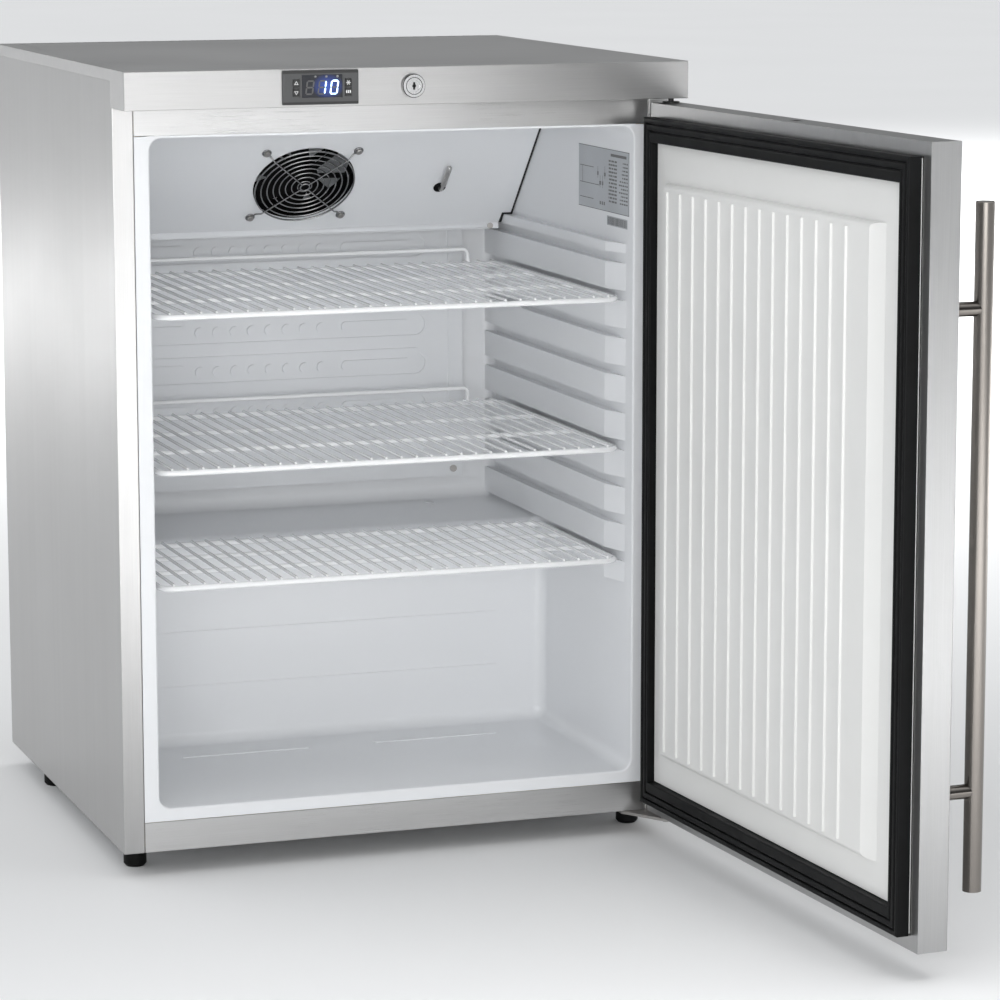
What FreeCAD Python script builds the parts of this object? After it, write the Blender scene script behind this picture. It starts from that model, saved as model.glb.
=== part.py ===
"""Undercounter refrigerator with one hinged door, in millimetres.

The origin is on the floor under the middle of the worktop's front edge.
X runs to the right as seen from the front, Y to the back and Z up.
The door is stored swung open about its right-hand hinge.
"""
import FreeCAD, Part
import math
import os
import re
import Sketcher
from FreeCAD import Placement, Rotation, Vector

DIMENSIONS = {
    # cabinet shell
    "cab_width": 598, "cab_depth": 600, "cab_height": 830, "base_height": 25,
    "sheet": 0.8, "carcass_front": 55, "band_inner": 276.5, "panel_half": 298.1,
    "fascia_height": 38.5, "fascia_return": 56, "fascia_fold": 15, "skirt": 12,
    "vent_pitch": 15.5, "vent_length": 9, "vent_width": 6, "vent_count": 36, "vent_inset": 8,
    "rail_bottom": 762.7, "kick_top": 56.5, "rail_fold": 20,
    # liner and insulation
    "cavity_half": 260, "cavity_floor": 70, "cavity_ceiling": 760, "cavity_back": 505,
    "step_front": 330, "step_top": 300, "step_bevel": 7,
    "liner_wall": 2.5, "liner_corner": 13, "lip_radius": 2.2,
    "flange_half": 276, "flange_bottom": 56.8, "flange_top": 762,
    "groove_floor": 613.6, "groove_height": 11, "ledge_pitch": 40, "ledge_reach": 10,
    "ledge_front": 72, "ledge_full": 112, "ledge_count": 8,
    "foam_front": 76, "foam_half": 297, "back_sheet": 556, "machine_front": 365, "machine_top": 262,
    # evaporator cover and fan
    "fan_y": 393.5, "fan_z": 680.4, "cover_pitch": 46.8, "cover_half": 257.5, "cover_top": 759.4,
    "cover_bottom": 625, "cover_lip": 7, "cover_sheet": 1, "notch_half": 246.5, "notch_top": 637,
    "fan_hole": 57.5, "fan_size": 120, "fan_thickness": 25, "fan_screw": 52.5,
    "probe_x": 161, "probe_drop": 12.4, "plate_front": 493.5, "plate_sheet": 1.5,
    "plate_half": 219, "plate_bottom": 326, "plate_top": 735, "emboss": 1.8,
    # shelves
    "shelf_half": 253, "shelf_front": 66, "shelf_depth": 386, "short_depth": 250,
    "wire_pitch": 16.4, "wire_count": 30, "frame_radius": 3, "wire_radius": 1.5, "upstand": 18,
    "shelf_top_z": 577, "shelf_mid_z": 417, "shelf_low_z": 297, "upstand_half": 210,
    # door, built closed and then swung open
    "hinge_x": 288, "hinge_y": 21.1, "door_angle": 93.5, "door_half": 298, "door_bottom": 30.7,
    "door_top": 785.7, "door_face": 7, "pan_depth": 32, "pan_flange": 14,
    "gasket_outer": 284, "gasket_inner": 266, "gasket_band": 25, "gasket_low": 45, "gasket_high": 772,
    "gasket_face": 54.5, "liner_base": 46.5, "panel_right": 240, "panel_left": 210,
    "panel_bevel": 22, "panel_low": 104, "panel_high": 707, "panel_face": 54,
    "rib_pitch": 30, "rib_count": 14, "rib_start": 40, "rib_width": 7, "rib_height": 2,
    "rib_end": 8, "field_round": 6,
    "pin_radius": 3, "bush_radius": 7, "running_gap": 0.05,
    "handle_x": -262, "handle_y": -38, "handle_radius": 9, "handle_low": 75, "handle_high": 727,
    "handle_mid": 400, "standoff_reach": 228, "standoff_radius": 7,
    # fascia fittings
    "bezel_left": -137.5, "bezel_right": -58, "bezel_low": 793.8, "bezel_high": 828.3,
    "bezel_proud": 2.5, "lock_z": 810.5, "lock_ring": 11.3, "lock_barrel": 9, "lock_plug": 6,
    "key_proud": 0.6, "key_left": -123.3, "key_right": -69, "key_upper": 815.3, "key_lower": 806.3,
    # refrigeration machine
    "drain_x": 170, "drain_y": 470, "suction_x": -200, "suction_y": 450, "capillary_x": -225,
    "pot_x": -100, "pot_y": 480, "pot_radius": 72, "pot_low": 44, "pot_high": 196, "seam_z": 118,
    "plate_x": 90, "plate_y": 50, "plate_z": 40, "stub_low": 90, "stub_high": 150,
    "coil_y": 578, "coil_half": 235, "coil_low": 300, "coil_pitch": 50, "coil_runs": 10,
    "suction_radius": 4, "discharge_radius": 2.6, "capillary_radius": 1.5,
    "drier_x": 60, "drier_y": 560, "drier_low": 110, "drier_length": 90, "drier_radius": 9,
    "tray_left": 110, "tray_right": 250, "tray_near": 410, "tray_far": 540, "tray_rim": 85,
    # feet
    "foot_x": 275, "foot_front": 105, "foot_rear": 480, "foot_radius": 12, "stud_radius": 4,
}

doc = FreeCAD.newDocument("undercounter_refrigerator")
sheet = doc.addObject("Spreadsheet::Sheet", "dim")
for row, (alias, size) in enumerate(DIMENSIONS.items(), start=1):
    sheet.set(f"A{row}", alias)
    sheet.set(f"B{row}", str(size))
    sheet.setAlias(f"B{row}", alias)
doc.recompute()

PIECES = []
X, Y, Z = Vector(1, 0, 0), Vector(0, 1, 0), Vector(0, 0, 1)
EMBOSS_ROWS = (597, 552, 506, 461, 414, 368)  # heights of the evaporator plate's rows
CAM_SLOT = ("19.5", "27.5")  # depth of the lock cam's slot in the door's top edge
LOWER_SCREWS = (("262", "66"), ("286", "66"), ("262", "98"))  # x and y
UPPER_SCREWS = (("269", "803"), ("269", "817"))  # x and z


# ---- expressions and document helpers -------------------------------------------------

def bound(text):
    """An expression on the sheet: each dimension's name gets the sheet's prefix."""
    return re.sub(r"[a-z_]+", lambda w: "dim." + w[0] if w[0] in DIMENSIONS else w[0], str(text))


def value(text):
    """What an expression on the sheet comes to."""
    return float(sheet.evalExpression(bound(text)))


def bind(item, prop, text):
    item.setExpression(prop, bound(text))


def piece(item, label, placement=None):
    """Names a finished sub-part and keeps it for the export."""
    item.Label = label
    if placement:
        item.Placement = placement.multiply(item.Placement)
    PIECES.append(item)
    return item


def block(x, y, z, name="block"):
    """A box between pairs of expressions."""
    item = doc.addObject("Part::Box", name)
    for side, axis, (low, high) in zip(("Length", "Width", "Height"), "xyz", (x, y, z)):
        bind(item, side, f"({high}) - ({low})")
        bind(item, "Placement.Base." + axis, low)
    return item


def rod(radius, length, start, along=Z, name="rod"):
    """A cylinder from a start point given as three expressions."""
    item = doc.addObject("Part::Cylinder", name)
    item.Placement = Placement(Vector(), Rotation(Z, along))
    bind(item, "Radius", radius)
    bind(item, "Height", length)
    for axis, text in zip("xyz", start):
        bind(item, "Placement.Base." + axis, text)
    return item


def fuse(*items, name="fuse"):
    item = doc.addObject("Part::MultiFuse", name)
    item.Shapes = list(items)
    return item


def cut(base, *tools, name="cut"):
    item = doc.addObject("Part::Cut", name)
    item.Base = base
    item.Tool = tools[0] if len(tools) == 1 else fuse(*tools, name=name + "_tools")
    return item


def group(*items, name="group"):
    """Separate solids that belong to one node."""
    item = doc.addObject("Part::Compound", name)
    item.Links = list(items)
    return item


def plain(shape, name="shape"):
    """A shape made with Part's own functions."""
    item = doc.addObject("Part::Feature", name)
    item.Shape = shape
    return item


# ---- PartDesign helpers ---------------------------------------------------------------

def new_body(name):
    return doc.addObject("PartDesign::Body", name)


def origin_part(body, role):
    return next(o for o in body.Origin.OriginFeatures if o.Role == role)


def fix_point(sketch, geometry, position, u, v):
    """Holds a point of the sketch at two expressions."""
    for kind, text in (("DistanceX", u), ("DistanceY", v)):
        made = Sketcher.Constraint(kind, -1, 1, geometry, position, value(text))
        index = sketch.addConstraint(made)
        sketch.setExpression(f"Constraints[{index}]", bound(text))


def fix_radius(sketch, geometry, text):
    index = sketch.addConstraint(Sketcher.Constraint("Radius", geometry, value(text)))
    sketch.setExpression(f"Constraints[{index}]", bound(text))


def draw_polygon(sketch, points):
    corners = [Vector(value(u), value(v), 0) for u, v in points]
    count = len(corners)
    sides = [sketch.addGeometry(Part.LineSegment(corners[i], corners[(i + 1) % count]), False)
             for i in range(count)]
    for i in range(count):
        sketch.addConstraint(Sketcher.Constraint("Coincident", sides[i], 2, sides[(i + 1) % count], 1))
    for side, (u, v) in zip(sides, points):
        fix_point(sketch, side, 1, u, v)


def draw_circle(sketch, u, v, radius):
    circle = Part.Circle(Vector(value(u), value(v), 0), Z, value(radius))
    index = sketch.addGeometry(circle, False)
    fix_point(sketch, index, 3, u, v)
    fix_radius(sketch, index, radius)


def draw_slot(sketch, u_low, u_high, v, radius):
    """A stadium lying along the sketch's first axis."""
    left, right, level, r = value(u_low), value(u_high), value(v), value(radius)
    half_turn = math.pi / 2
    far = Part.ArcOfCircle(Part.Circle(Vector(right, level, 0), Z, r), -half_turn, half_turn)
    near = Part.ArcOfCircle(Part.Circle(Vector(left, level, 0), Z, r), half_turn, 3 * half_turn)
    lower = Part.LineSegment(Vector(left, level - r, 0), Vector(right, level - r, 0))
    upper = Part.LineSegment(Vector(right, level + r, 0), Vector(left, level + r, 0))
    ring = [sketch.addGeometry(g, False) for g in (lower, far, upper, near)]
    for i in range(4):
        sketch.addConstraint(Sketcher.Constraint("Tangent", ring[i], 2, ring[(i + 1) % 4], 1))
    for arc, u in ((ring[1], u_high), (ring[3], u_low)):
        fix_point(sketch, arc, 3, u, v)
        fix_radius(sketch, arc, radius)


DRAW = {"circle": draw_circle, "slot": draw_slot}


def sketch_on(body, plane, level, outlines):
    """A sketch parallel to an origin plane, at a level along that plane's axis."""
    sketch = body.newObject("Sketcher::SketchObject", body.Name + "_outline")
    sketch.AttachmentSupport = [(origin_part(body, plane + "_Plane"), "")]
    sketch.MapMode = "FlatFace"
    sign = "-" if plane == "XZ" else ""
    bind(sketch, "AttachmentOffset.Base.z", f"{sign}({level})")
    for outline in outlines:
        if isinstance(outline, list):
            draw_polygon(sketch, outline)
        else:
            DRAW[outline[0]](sketch, *outline[1:])
    return sketch


def pad(body, plane, low, high, *outlines):
    """Adds material between two levels."""
    sketch = sketch_on(body, plane, high if plane == "XZ" else low, outlines)
    feature = body.newObject("PartDesign::Pad", body.Name + "_pad")
    feature.Profile = sketch
    bind(feature, "Length", f"({high}) - ({low})")
    sketch.Visibility = False
    return feature


def pocket(body, plane, low, high, *outlines):
    """Removes material between two levels."""
    sketch = sketch_on(body, plane, low if plane == "XZ" else high, outlines)
    feature = body.newObject("PartDesign::Pocket", body.Name + "_pocket")
    feature.Profile = sketch
    bind(feature, "Length", f"({high}) - ({low})")
    sketch.Visibility = False
    return feature


def repeat(body, feature, role, spacing, count, backwards=False):
    """Repeats a feature in a row along an origin axis."""
    row_of = body.newObject("PartDesign::LinearPattern", body.Name + "_row")
    row_of.Originals = [feature]
    row_of.Direction = (origin_part(body, role), [""])
    row_of.Reversed = backwards
    bind(row_of, "Length", f"({spacing}) * (({count}) - 1)")
    bind(row_of, "Occurrences", count)
    body.Tip = row_of
    return row_of


def round_edges(body, radius, wanted):
    """Rounds those edges of the body so far that pass a test of their middle and direction."""
    doc.recompute()
    tip = body.Tip
    names = []
    for number, edge in enumerate(tip.Shape.Edges, start=1):
        way = edge.tangentAt((edge.FirstParameter + edge.LastParameter) / 2)
        if wanted(edge.CenterOfMass, way):
            names.append(f"Edge{number}")
    fillet = body.newObject("PartDesign::Fillet", body.Name + "_round")
    fillet.Base = (tip, names)
    bind(fillet, "Radius", radius)
    return fillet


def rect(u_low, u_high, v_low, v_high):
    return [(u_low, v_low), (u_high, v_low), (u_high, v_high), (u_low, v_high)]


def span(half, v_low, v_high):
    """A rectangle centred on the first axis."""
    return rect(f"-({half})", half, v_low, v_high)


def is_along(way, axis):
    return abs(abs(way.dot(axis)) - 1) < 1e-6


# ---- wires and tubes ------------------------------------------------------------------

def straight(radius, start, end):
    line = end - start
    return Part.makeCylinder(radius, line.Length, start, line)


def bent_path(points, radius):
    """Straight runs joined by tangent arcs of one radius."""
    edges = []
    here = points[0]
    for before, corner, after in zip(points, points[1:], points[2:]):
        back = (before - corner).normalize()
        ahead = (after - corner).normalize()
        opening = math.acos(max(-1.0, min(1.0, back.dot(ahead))))
        trim = radius / math.tan(opening / 2)
        entry, leave = corner + back * trim, corner + ahead * trim
        bisector = (back + ahead).normalize()
        centre = corner + bisector * (radius / math.sin(opening / 2))
        middle = centre - bisector * radius
        edges += [Part.makeLine(here, entry), Part.Arc(entry, middle, leave).toShape()]
        here = leave
    edges.append(Part.makeLine(here, points[-1]))
    return Part.Wire(edges)


def tube(points, bend, radius):
    """A round bar or tube swept along a bent path."""
    path = bent_path([Vector(*p) for p in points], bend)
    start = path.Edges[0]
    profile = Part.Wire(Part.makeCircle(radius, Vector(*points[0]), start.tangentAt(start.FirstParameter)))
    return path.makePipeShell([profile], True, False)


# ---- cabinet shell --------------------------------------------------------------------

def make_worktop():
    """One folded sheet: top, front fascia with its returns and a short skirt round the rest."""
    half = "cab_width / 2"
    low = "cab_height - fascia_height"
    body = new_body("worktop")
    pad(body, "XY", low, "cab_height", span(half, "0", "cab_depth"))
    pocket(body, "XY", f"{low} - 1", "cab_height - sheet",
           span(f"{half} - sheet", "sheet", "cab_depth - sheet"))
    pocket(body, "YZ", f"-{half} - 1", f"{half} + 1",
           rect("fascia_return", "cab_depth + 1", f"{low} - 1", "cab_height - skirt"))
    pad(body, "XY", low, f"{low} + sheet", span(half, "0", "fascia_fold"))
    pocket(body, "XZ", "-1", "sheet + 1",
           rect("bezel_left + 4", "bezel_right - 4", "bezel_low + 2.5", "bezel_high - 2.5"),
           ("circle", "0", "lock_z", "lock_barrel + 0.1"))
    first = "-vent_pitch * (vent_count - 1) / 2"
    slot = pocket(body, "XY", "cab_height - 2", "cab_height + 1",
                  ("slot", f"{first} - vent_length / 2 + vent_width / 2",
                   f"{first} + vent_length / 2 - vent_width / 2", "cab_depth - vent_inset", "vent_width / 2"))
    repeat(body, slot, "X_Axis", "vent_pitch", "vent_count")
    piece(body, "worktop")


def make_side_panel(label, sign):
    """A side sheet with the front band and a narrow rear flange folded on."""
    outer = f"{sign} * panel_half"
    inner = f"{sign} * (panel_half - sheet)"
    rear = "cab_depth - 0.9"
    body = new_body(label)
    pad(body, "XY", "base_height", "cab_height - 1", [
        (f"{sign} * band_inner", "carcass_front"), (outer, "carcass_front"), (outer, rear),
        (f"{sign} * (panel_half - 15)", rear), (f"{sign} * (panel_half - 15)", f"{rear} - sheet"),
        (inner, f"{rear} - sheet"), (inner, "carcass_front + sheet"),
        (f"{sign} * band_inner", "carcass_front + sheet")])
    piece(body, label)


def make_front_rails():
    """The stainless strips above and below the opening, each with a fold to the back."""
    front, inside = "carcass_front", "carcass_front + sheet"
    body = new_body("top_front_rail")
    pad(body, "YZ", "-flange_half", "flange_half", [
        (front, "rail_bottom"), (f"{front} + rail_fold", "rail_bottom"),
        (f"{front} + rail_fold", "rail_bottom + sheet"), (inside, "rail_bottom + sheet"),
        (inside, "cab_height - 1"), (front, "cab_height - 1")])
    piece(body, "top_front_rail")
    body = new_body("kick_rail")
    pad(body, "YZ", "-flange_half", "flange_half", [
        (front, "base_height"), (f"{front} + rail_fold", "base_height"),
        (f"{front} + rail_fold", "base_height + sheet"), (inside, "base_height + sheet"),
        (inside, "kick_top"), (front, "kick_top")])
    piece(body, "kick_rail")


def foot_places():
    """Names and positions of the four feet."""
    for row_name, y in (("front", "foot_front"), ("rear", "foot_rear")):
        for side, sign in (("left", "-1"), ("right", "1")):
            yield f"foot_{row_name}_{side}", f"{sign} * foot_x", y


def make_base_and_back():
    body = new_body("base_plate")
    pad(body, "XY", "base_height", "base_height + 1",
        span("foam_half", "foam_front", "cab_depth - 4"),
        *[("circle", x, y, "stud_radius + 4.1") for _, x, y in foot_places()])
    piece(body, "base_plate")
    body = new_body("back_panel")
    pad(body, "YZ", "-foam_half", "foam_half", [
        ("machine_front", "base_height + 1.1"), ("machine_front + 1", "base_height + 1.1"),
        ("machine_front + 1", "machine_top - 1"), ("back_sheet + 1", "machine_top - 1"),
        ("back_sheet + 1", "cab_height - 1.1"), ("back_sheet", "cab_height - 1.1"),
        ("back_sheet", "machine_top"), ("machine_front", "machine_top")])
    pocket(body, "XY", "machine_top - 2", "machine_top + 1",
           ("circle", "drain_x", "drain_y", "6.2"), ("circle", "suction_x", "suction_y", "4.2"),
           ("circle", "capillary_x", "suction_y", "2.2"))
    piece(body, "back_panel")


def ledge_outlines(back):
    """Plan of the two wall bulges between shelf grooves, with ramped front ends."""
    wall = "cavity_half + 1"
    nose = "cavity_half - ledge_reach"
    corners = [(wall, "ledge_front"), (nose, "ledge_full"), (nose, back), (wall, back)]
    return corners, [(f"-({u})", v) for u, v in corners]


def make_liner():
    """Moulded inner box: flange, grooved side walls, and the step over the machine space."""
    outer = new_body("liner_outer")
    side = "cavity_half + liner_wall"
    pad(outer, "YZ", f"-({side})", side, [
        ("carcass_front", "cavity_floor - liner_wall"),
        ("step_front + liner_wall", "cavity_floor - liner_wall"),
        ("step_front + liner_wall", "step_top - liner_wall - step_bevel"),
        ("step_front + liner_wall + step_bevel", "step_top - liner_wall"),
        ("cavity_back + liner_wall", "step_top - liner_wall"),
        ("cavity_back + liner_wall", "cavity_ceiling + liner_wall"),
        ("carcass_front", "cavity_ceiling + liner_wall")])
    pad(outer, "XZ", "carcass_front", "carcass_front + liner_wall",
        span("flange_half", "flange_bottom", "flange_top"))
    mouth = "carcass_front - 20"
    cavity = new_body("liner_cavity")
    pad(cavity, "YZ", "-cavity_half", "cavity_half", [
        (mouth, "cavity_floor"), ("step_front", "cavity_floor"), ("step_front", "step_top"),
        ("cavity_back", "step_top"), ("cavity_back", "cavity_ceiling"), (mouth, "cavity_ceiling")])
    round_edges(cavity, "liner_corner", lambda middle, way: middle.y > value(mouth) + 1)
    reach_back = "cavity_back + 1"
    field = pocket(cavity, "XY", "groove_floor - ledge_pitch + groove_height", "groove_floor",
                   *ledge_outlines(reach_back))
    repeat(cavity, field, "Z_Axis", "ledge_pitch", "ledge_count", backwards=True)
    top_low = "groove_floor + groove_height"
    pocket(cavity, "XY", top_low, f"{top_low} + 10", *ledge_outlines(reach_back))
    lowest = "groove_floor - ledge_pitch * ledge_count"
    pocket(cavity, "XY", f"{lowest} - 22", lowest, *ledge_outlines("step_front + 1"))
    for level in ("126", "187"):
        pocket(cavity, "XZ", "step_front - 1.5", "step_front + 1", ("slot", "-200", "200", level, "10"))
    for low, high in (("-178", "-39"), ("41", "178")):
        pocket(cavity, "XY", "cavity_floor - 1", "cavity_floor + 1", ("slot", low, high, "270", "3"))
    shell = cut(outer, cavity, rod("6.1", "20", ("drain_x", "drain_y", "step_top - 10")), name="liner_shell")
    doc.recompute()
    front = value("carcass_front")
    rim = [(number, value("lip_radius"), value("lip_radius"))
           for number, edge in enumerate(shell.Shape.Edges, start=1)
           if abs(edge.BoundBox.YMax - front) < 1e-3 and abs(edge.BoundBox.YMin - front) < 1e-3
           and abs(edge.CenterOfMass.x) < value("cavity_half") + 1
           and value("cavity_floor") - 1 < edge.CenterOfMass.z < value("cavity_ceiling") + 1]
    liner = doc.addObject("Part::Fillet", "liner")
    liner.Base = shell
    liner.Edges = rim
    piece(liner, "liner")


def make_insulation():
    """Foam between the liner and the outer sheets."""
    body = new_body("insulation")
    low, high = "base_height + 1.2", "cab_height - 1.2"
    pad(body, "YZ", "-foam_half", "foam_half", [
        ("foam_front", low), ("machine_front - 0.1", low), ("machine_front - 0.1", "machine_top + 0.1"),
        ("back_sheet - 0.1", "machine_top + 0.1"), ("back_sheet - 0.1", high), ("foam_front", high)])
    gap = "liner_wall + 0.1"
    side = f"cavity_half + {gap}"
    pocket(body, "YZ", f"-({side})", side, [
        ("foam_front - 1", f"cavity_floor - ({gap})"), (f"step_front + {gap}", f"cavity_floor - ({gap})"),
        (f"step_front + {gap}", f"step_top - ({gap}) - step_bevel"),
        (f"step_front + {gap} + step_bevel", f"step_top - ({gap})"),
        (f"cavity_back + {gap}", f"step_top - ({gap})"),
        (f"cavity_back + {gap}", f"cavity_ceiling + {gap}"), ("foam_front - 1", f"cavity_ceiling + {gap}")])
    pocket(body, "XY", "base_height", "60.3",
           *[("circle", x, y, "stud_radius + 4.1") for name, x, y in foot_places() if "front" in name])
    pocket(body, "XY", "machine_top - 1", "step_top",
           ("circle", "drain_x", "drain_y", "6.2"), ("circle", "suction_x", "suction_y", "4.2"),
           ("circle", "capillary_x", "suction_y", "2.2"))
    piece(body, "insulation")


# ---- evaporator, cover and fan --------------------------------------------------------

def cover_y(level):
    """Where the sloping cover's front face is at a height, as an expression."""
    return f"fan_y - (({level}) - fan_z) / tan(cover_pitch)"


def fan_frame():
    """The fan's own frame: its Z is the cover's normal, pointing up and to the back."""
    return Placement(Vector(0, value("fan_y"), value("fan_z")), Rotation(X, -value("cover_pitch")))


def tilted(radius, length, start):
    """A cylinder along the cover's normal, from a point in the fan's own frame."""
    item = doc.addObject("Part::Cylinder", "bore")
    bind(item, "Radius", radius)
    bind(item, "Height", length)
    item.Placement = fan_frame().multiply(Placement(Vector(*start), Rotation()))
    return item


def screw_corners():
    reach = value("fan_screw")
    return [(u * reach, v * reach) for u in (-1, 1) for v in (-1, 1)]


def make_evaporator_cover():
    body = new_body("cover_sheet_metal")
    across = "cover_sheet / sin(cover_pitch)"
    lip_y = cover_y("cover_bottom")
    pad(body, "YZ", "-cover_half", "cover_half", [
        (cover_y("cover_top"), "cover_top"), (lip_y, "cover_bottom"), (lip_y, "cover_bottom - cover_lip"),
        (f"{lip_y} + cover_sheet", "cover_bottom - cover_lip"),
        (f"{lip_y} + cover_sheet", "cover_bottom + 0.4"),
        (f"{cover_y('cover_top')} + {across}", "cover_top")])
    for sign in ("-1", "1"):
        pocket(body, "XZ", "300", "500", [
            (f"{sign} * (cover_half - liner_corner)", "cover_top + 1"),
            (f"{sign} * (cover_half + 1)", "cover_top + 1"),
            (f"{sign} * (cover_half + 1)", "cover_top - liner_corner")])
    pocket(body, "XZ", "300", "500",
           rect("notch_half", "cover_half + 1", "cover_bottom - 20", "notch_top"),
           rect("-cover_half - 1", "-notch_half", "cover_bottom - 20", "notch_top"))
    holes = [tilted("fan_hole", "10", (0, 0, -5)),
             tilted("5.5", "10", (value("probe_x"), value("probe_drop"), -5))]
    holes += [tilted("2.2", "10", (u, v, -5)) for u, v in screw_corners()]
    holes += [rod("2.1", "10", (x, f"{lip_y} - 5", "cover_bottom - 3.6"), Y) for x in ("-236", "236")]
    piece(cut(body, *holes, name="evaporator_cover"), "evaporator_cover")


def make_fan():
    """Axial fan: frame with motor and struts, and a rotor with pitched blades."""
    size, depth = value("fan_size"), value("fan_thickness")
    front = 1.3
    frame = Part.makeBox(size, size, depth, Vector(-size / 2, -size / 2, front))
    frame = frame.cut(Part.makeCylinder(value("fan_hole") - 0.5, depth + 2, Vector(0, 0, front - 1)))
    motor = Part.makeCylinder(19, 8, Vector(0, 0, front + depth - 8))
    struts = [Part.makeBox(44, 5, 4, Vector(16, -2.5, front + depth - 4)) for _ in range(4)]
    for number, strut in enumerate(struts):
        strut.rotate(Vector(), Z, 45 + 90 * number)
    frame = frame.multiFuse([motor] + struts).removeSplitter()
    bores = [Part.makeCylinder(2.2, depth + 2, Vector(u, v, front - 1)) for u, v in screw_corners()]
    bores.append(Part.makeCylinder(1.5 + value("running_gap"), 12, Vector(0, 0, front + depth - 9)))
    frame = frame.cut(Part.makeCompound(bores))
    piece(plain(frame, "fan_housing"), "fan_housing", fan_frame())
    hub = Part.makeCylinder(18, 13, Vector(0, 0, front + 2))
    hub = hub.makeFillet(2, [hub.Edges[0], hub.Edges[2]])
    shaft = Part.makeCylinder(1.5, 6, Vector(0, 0, front + 14))
    swept = Part.makeCylinder(54.5, 13, Vector(0, 0, front + 2)).cut(
        Part.makeCylinder(16, 13, Vector(0, 0, front + 2)))
    blades = []
    for number in range(7):
        blade = Part.makeBox(50, 26, 1.6, Vector(8, -13, 0))
        blade.rotate(Vector(), X, 32)
        blade.translate(Vector(0, 0, front + 8.5))
        blade.rotate(Vector(), Z, 360 / 7 * number)
        blades.append(blade.common(swept))
    rotor = hub.multiFuse([shaft] + blades).removeSplitter()
    piece(plain(rotor, "fan_rotor"), "fan_rotor", fan_frame())


def make_fan_guard():
    """Wire rings on four legs that end in loops under the screws."""
    wire, end_wire = 0.9, 1.0
    rings = [Part.makeTorus(8 + 6.9 * number, wire, Vector(0, 0, -4)) for number in range(8)]
    loop_at = value("fan_screw") * math.sqrt(2)
    legs = []
    for number in range(4):
        way = Rotation(Z, 45 + 90 * number).multVec(X)
        leg = tube([way * 5 + Z * -5.4, way * 60 + Z * -5.4, way * 67 + Z * -1.2, way * 70.6 + Z * -1.2],
                   2.5, wire)
        legs += [leg, Part.makeTorus(4.4, end_wire, way * loop_at + Z * -1.2)]
    centre = Part.makeTorus(5.2, end_wire, Vector(0, 0, -5.4))
    guard = rings[0].multiFuse(rings[1:] + legs + [centre])
    piece(plain(guard, "fan_guard"), "fan_guard", fan_frame())
    screws = []
    for u, v in screw_corners():
        head = Part.makeCylinder(3.6, 2.2, Vector(u, v, -4.4))
        head = head.makeFillet(0.9, [head.Edges[2]])
        screws.append(head.fuse(Part.makeCylinder(2, 20, Vector(u, v, -2.4))).removeSplitter())
    piece(plain(Part.makeCompound(screws), "guard_screws"), "guard_screws", fan_frame())


def stadium(low_x, high_x, level, radius, front, back):
    """A raised rounded bar along X, between two depths."""
    thick = back - front
    bar = Part.makeBox(high_x - low_x, thick, 2 * radius, Vector(low_x, front, level - radius))
    ends = [Part.makeCylinder(radius, thick, Vector(x, front, level), Y) for x in (low_x, high_x)]
    return bar.multiFuse(ends).removeSplitter()


def channel_ring(low_x, high_x, level, radius, front, back, width=5):
    """A rounded loop of blown channel."""
    outer = stadium(low_x, high_x, level, radius, front, back)
    return outer.cut(stadium(low_x, high_x, level, radius - width, front - 1, back + 1))


def make_evaporator_plate():
    """Roll-bonded plate: blown channels and rows of weld dots stand out of its front."""
    front = value("plate_front")
    back = front + value("plate_sheet")
    proud = front - value("emboss")
    half, low, high = value("plate_half"), value("plate_bottom"), value("plate_top")
    plate = Part.makeBox(2 * half, back - front, high - low, Vector(-half, front, low))
    raised = []
    for level in EMBOSS_ROWS:
        raised.append(channel_ring(-196, 160, level, 17.5, proud, front + 0.4))
        raised.append(stadium(-180, -118, level, 8.5, proud, front + 0.4))
        raised += [Part.makeCylinder(6, front + 0.4 - proud, Vector(-95 + 20.5 * n, proud, level), Y)
                   for n in range(8)]
        raised.append(stadium(78, 150, level, 6, proud, front + 0.4))
    raised.append(Part.makeBox(5, front + 0.4 - proud, high - low - 60, Vector(201, proud, low + 30)))
    plate = plate.multiFuse(raised)
    holes = [Part.makeCylinder(2.1, 10, Vector(x, front - 4, z), Y) for x, z in plate_screws()]
    piece(plain(plate.cut(Part.makeCompound(holes)), "evaporator_plate"), "evaporator_plate")


def plate_screws():
    side, low, high = value("plate_half") - 12, value("plate_bottom") + 9, value("plate_top") - 9
    return [(x, z) for x in (-side, side) for z in (low, high)]


def make_panel_screws():
    """Screws and spacers of the evaporator plate, and the two screws in the cover's lip."""
    front, back = value("plate_front"), value("plate_front") + value("plate_sheet")
    wall = value("cavity_back")
    solids = []
    for x, z in plate_screws():
        spacer = Part.makeCylinder(4.5, wall - back, Vector(x, back, z), Y)
        shank = Part.makeCylinder(2, back - front + 1, Vector(x, front, z), Y)
        head = Part.makeCylinder(4, 2, Vector(x, front - 2, z), Y)
        solids.append(spacer.multiFuse([shank, head]).removeSplitter())
    lip = value(cover_y("cover_bottom"))
    level = value("cover_bottom") - 3.6
    for x in (-236, 236):
        head = Part.makeCylinder(3.3, 2, Vector(x, lip - 2, level), Y)
        solids.append(head.fuse(Part.makeCylinder(2, 12, Vector(x, lip - 1, level), Y)).removeSplitter())
    piece(plain(Part.makeCompound(solids), "panel_screws"), "panel_screws")


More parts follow.
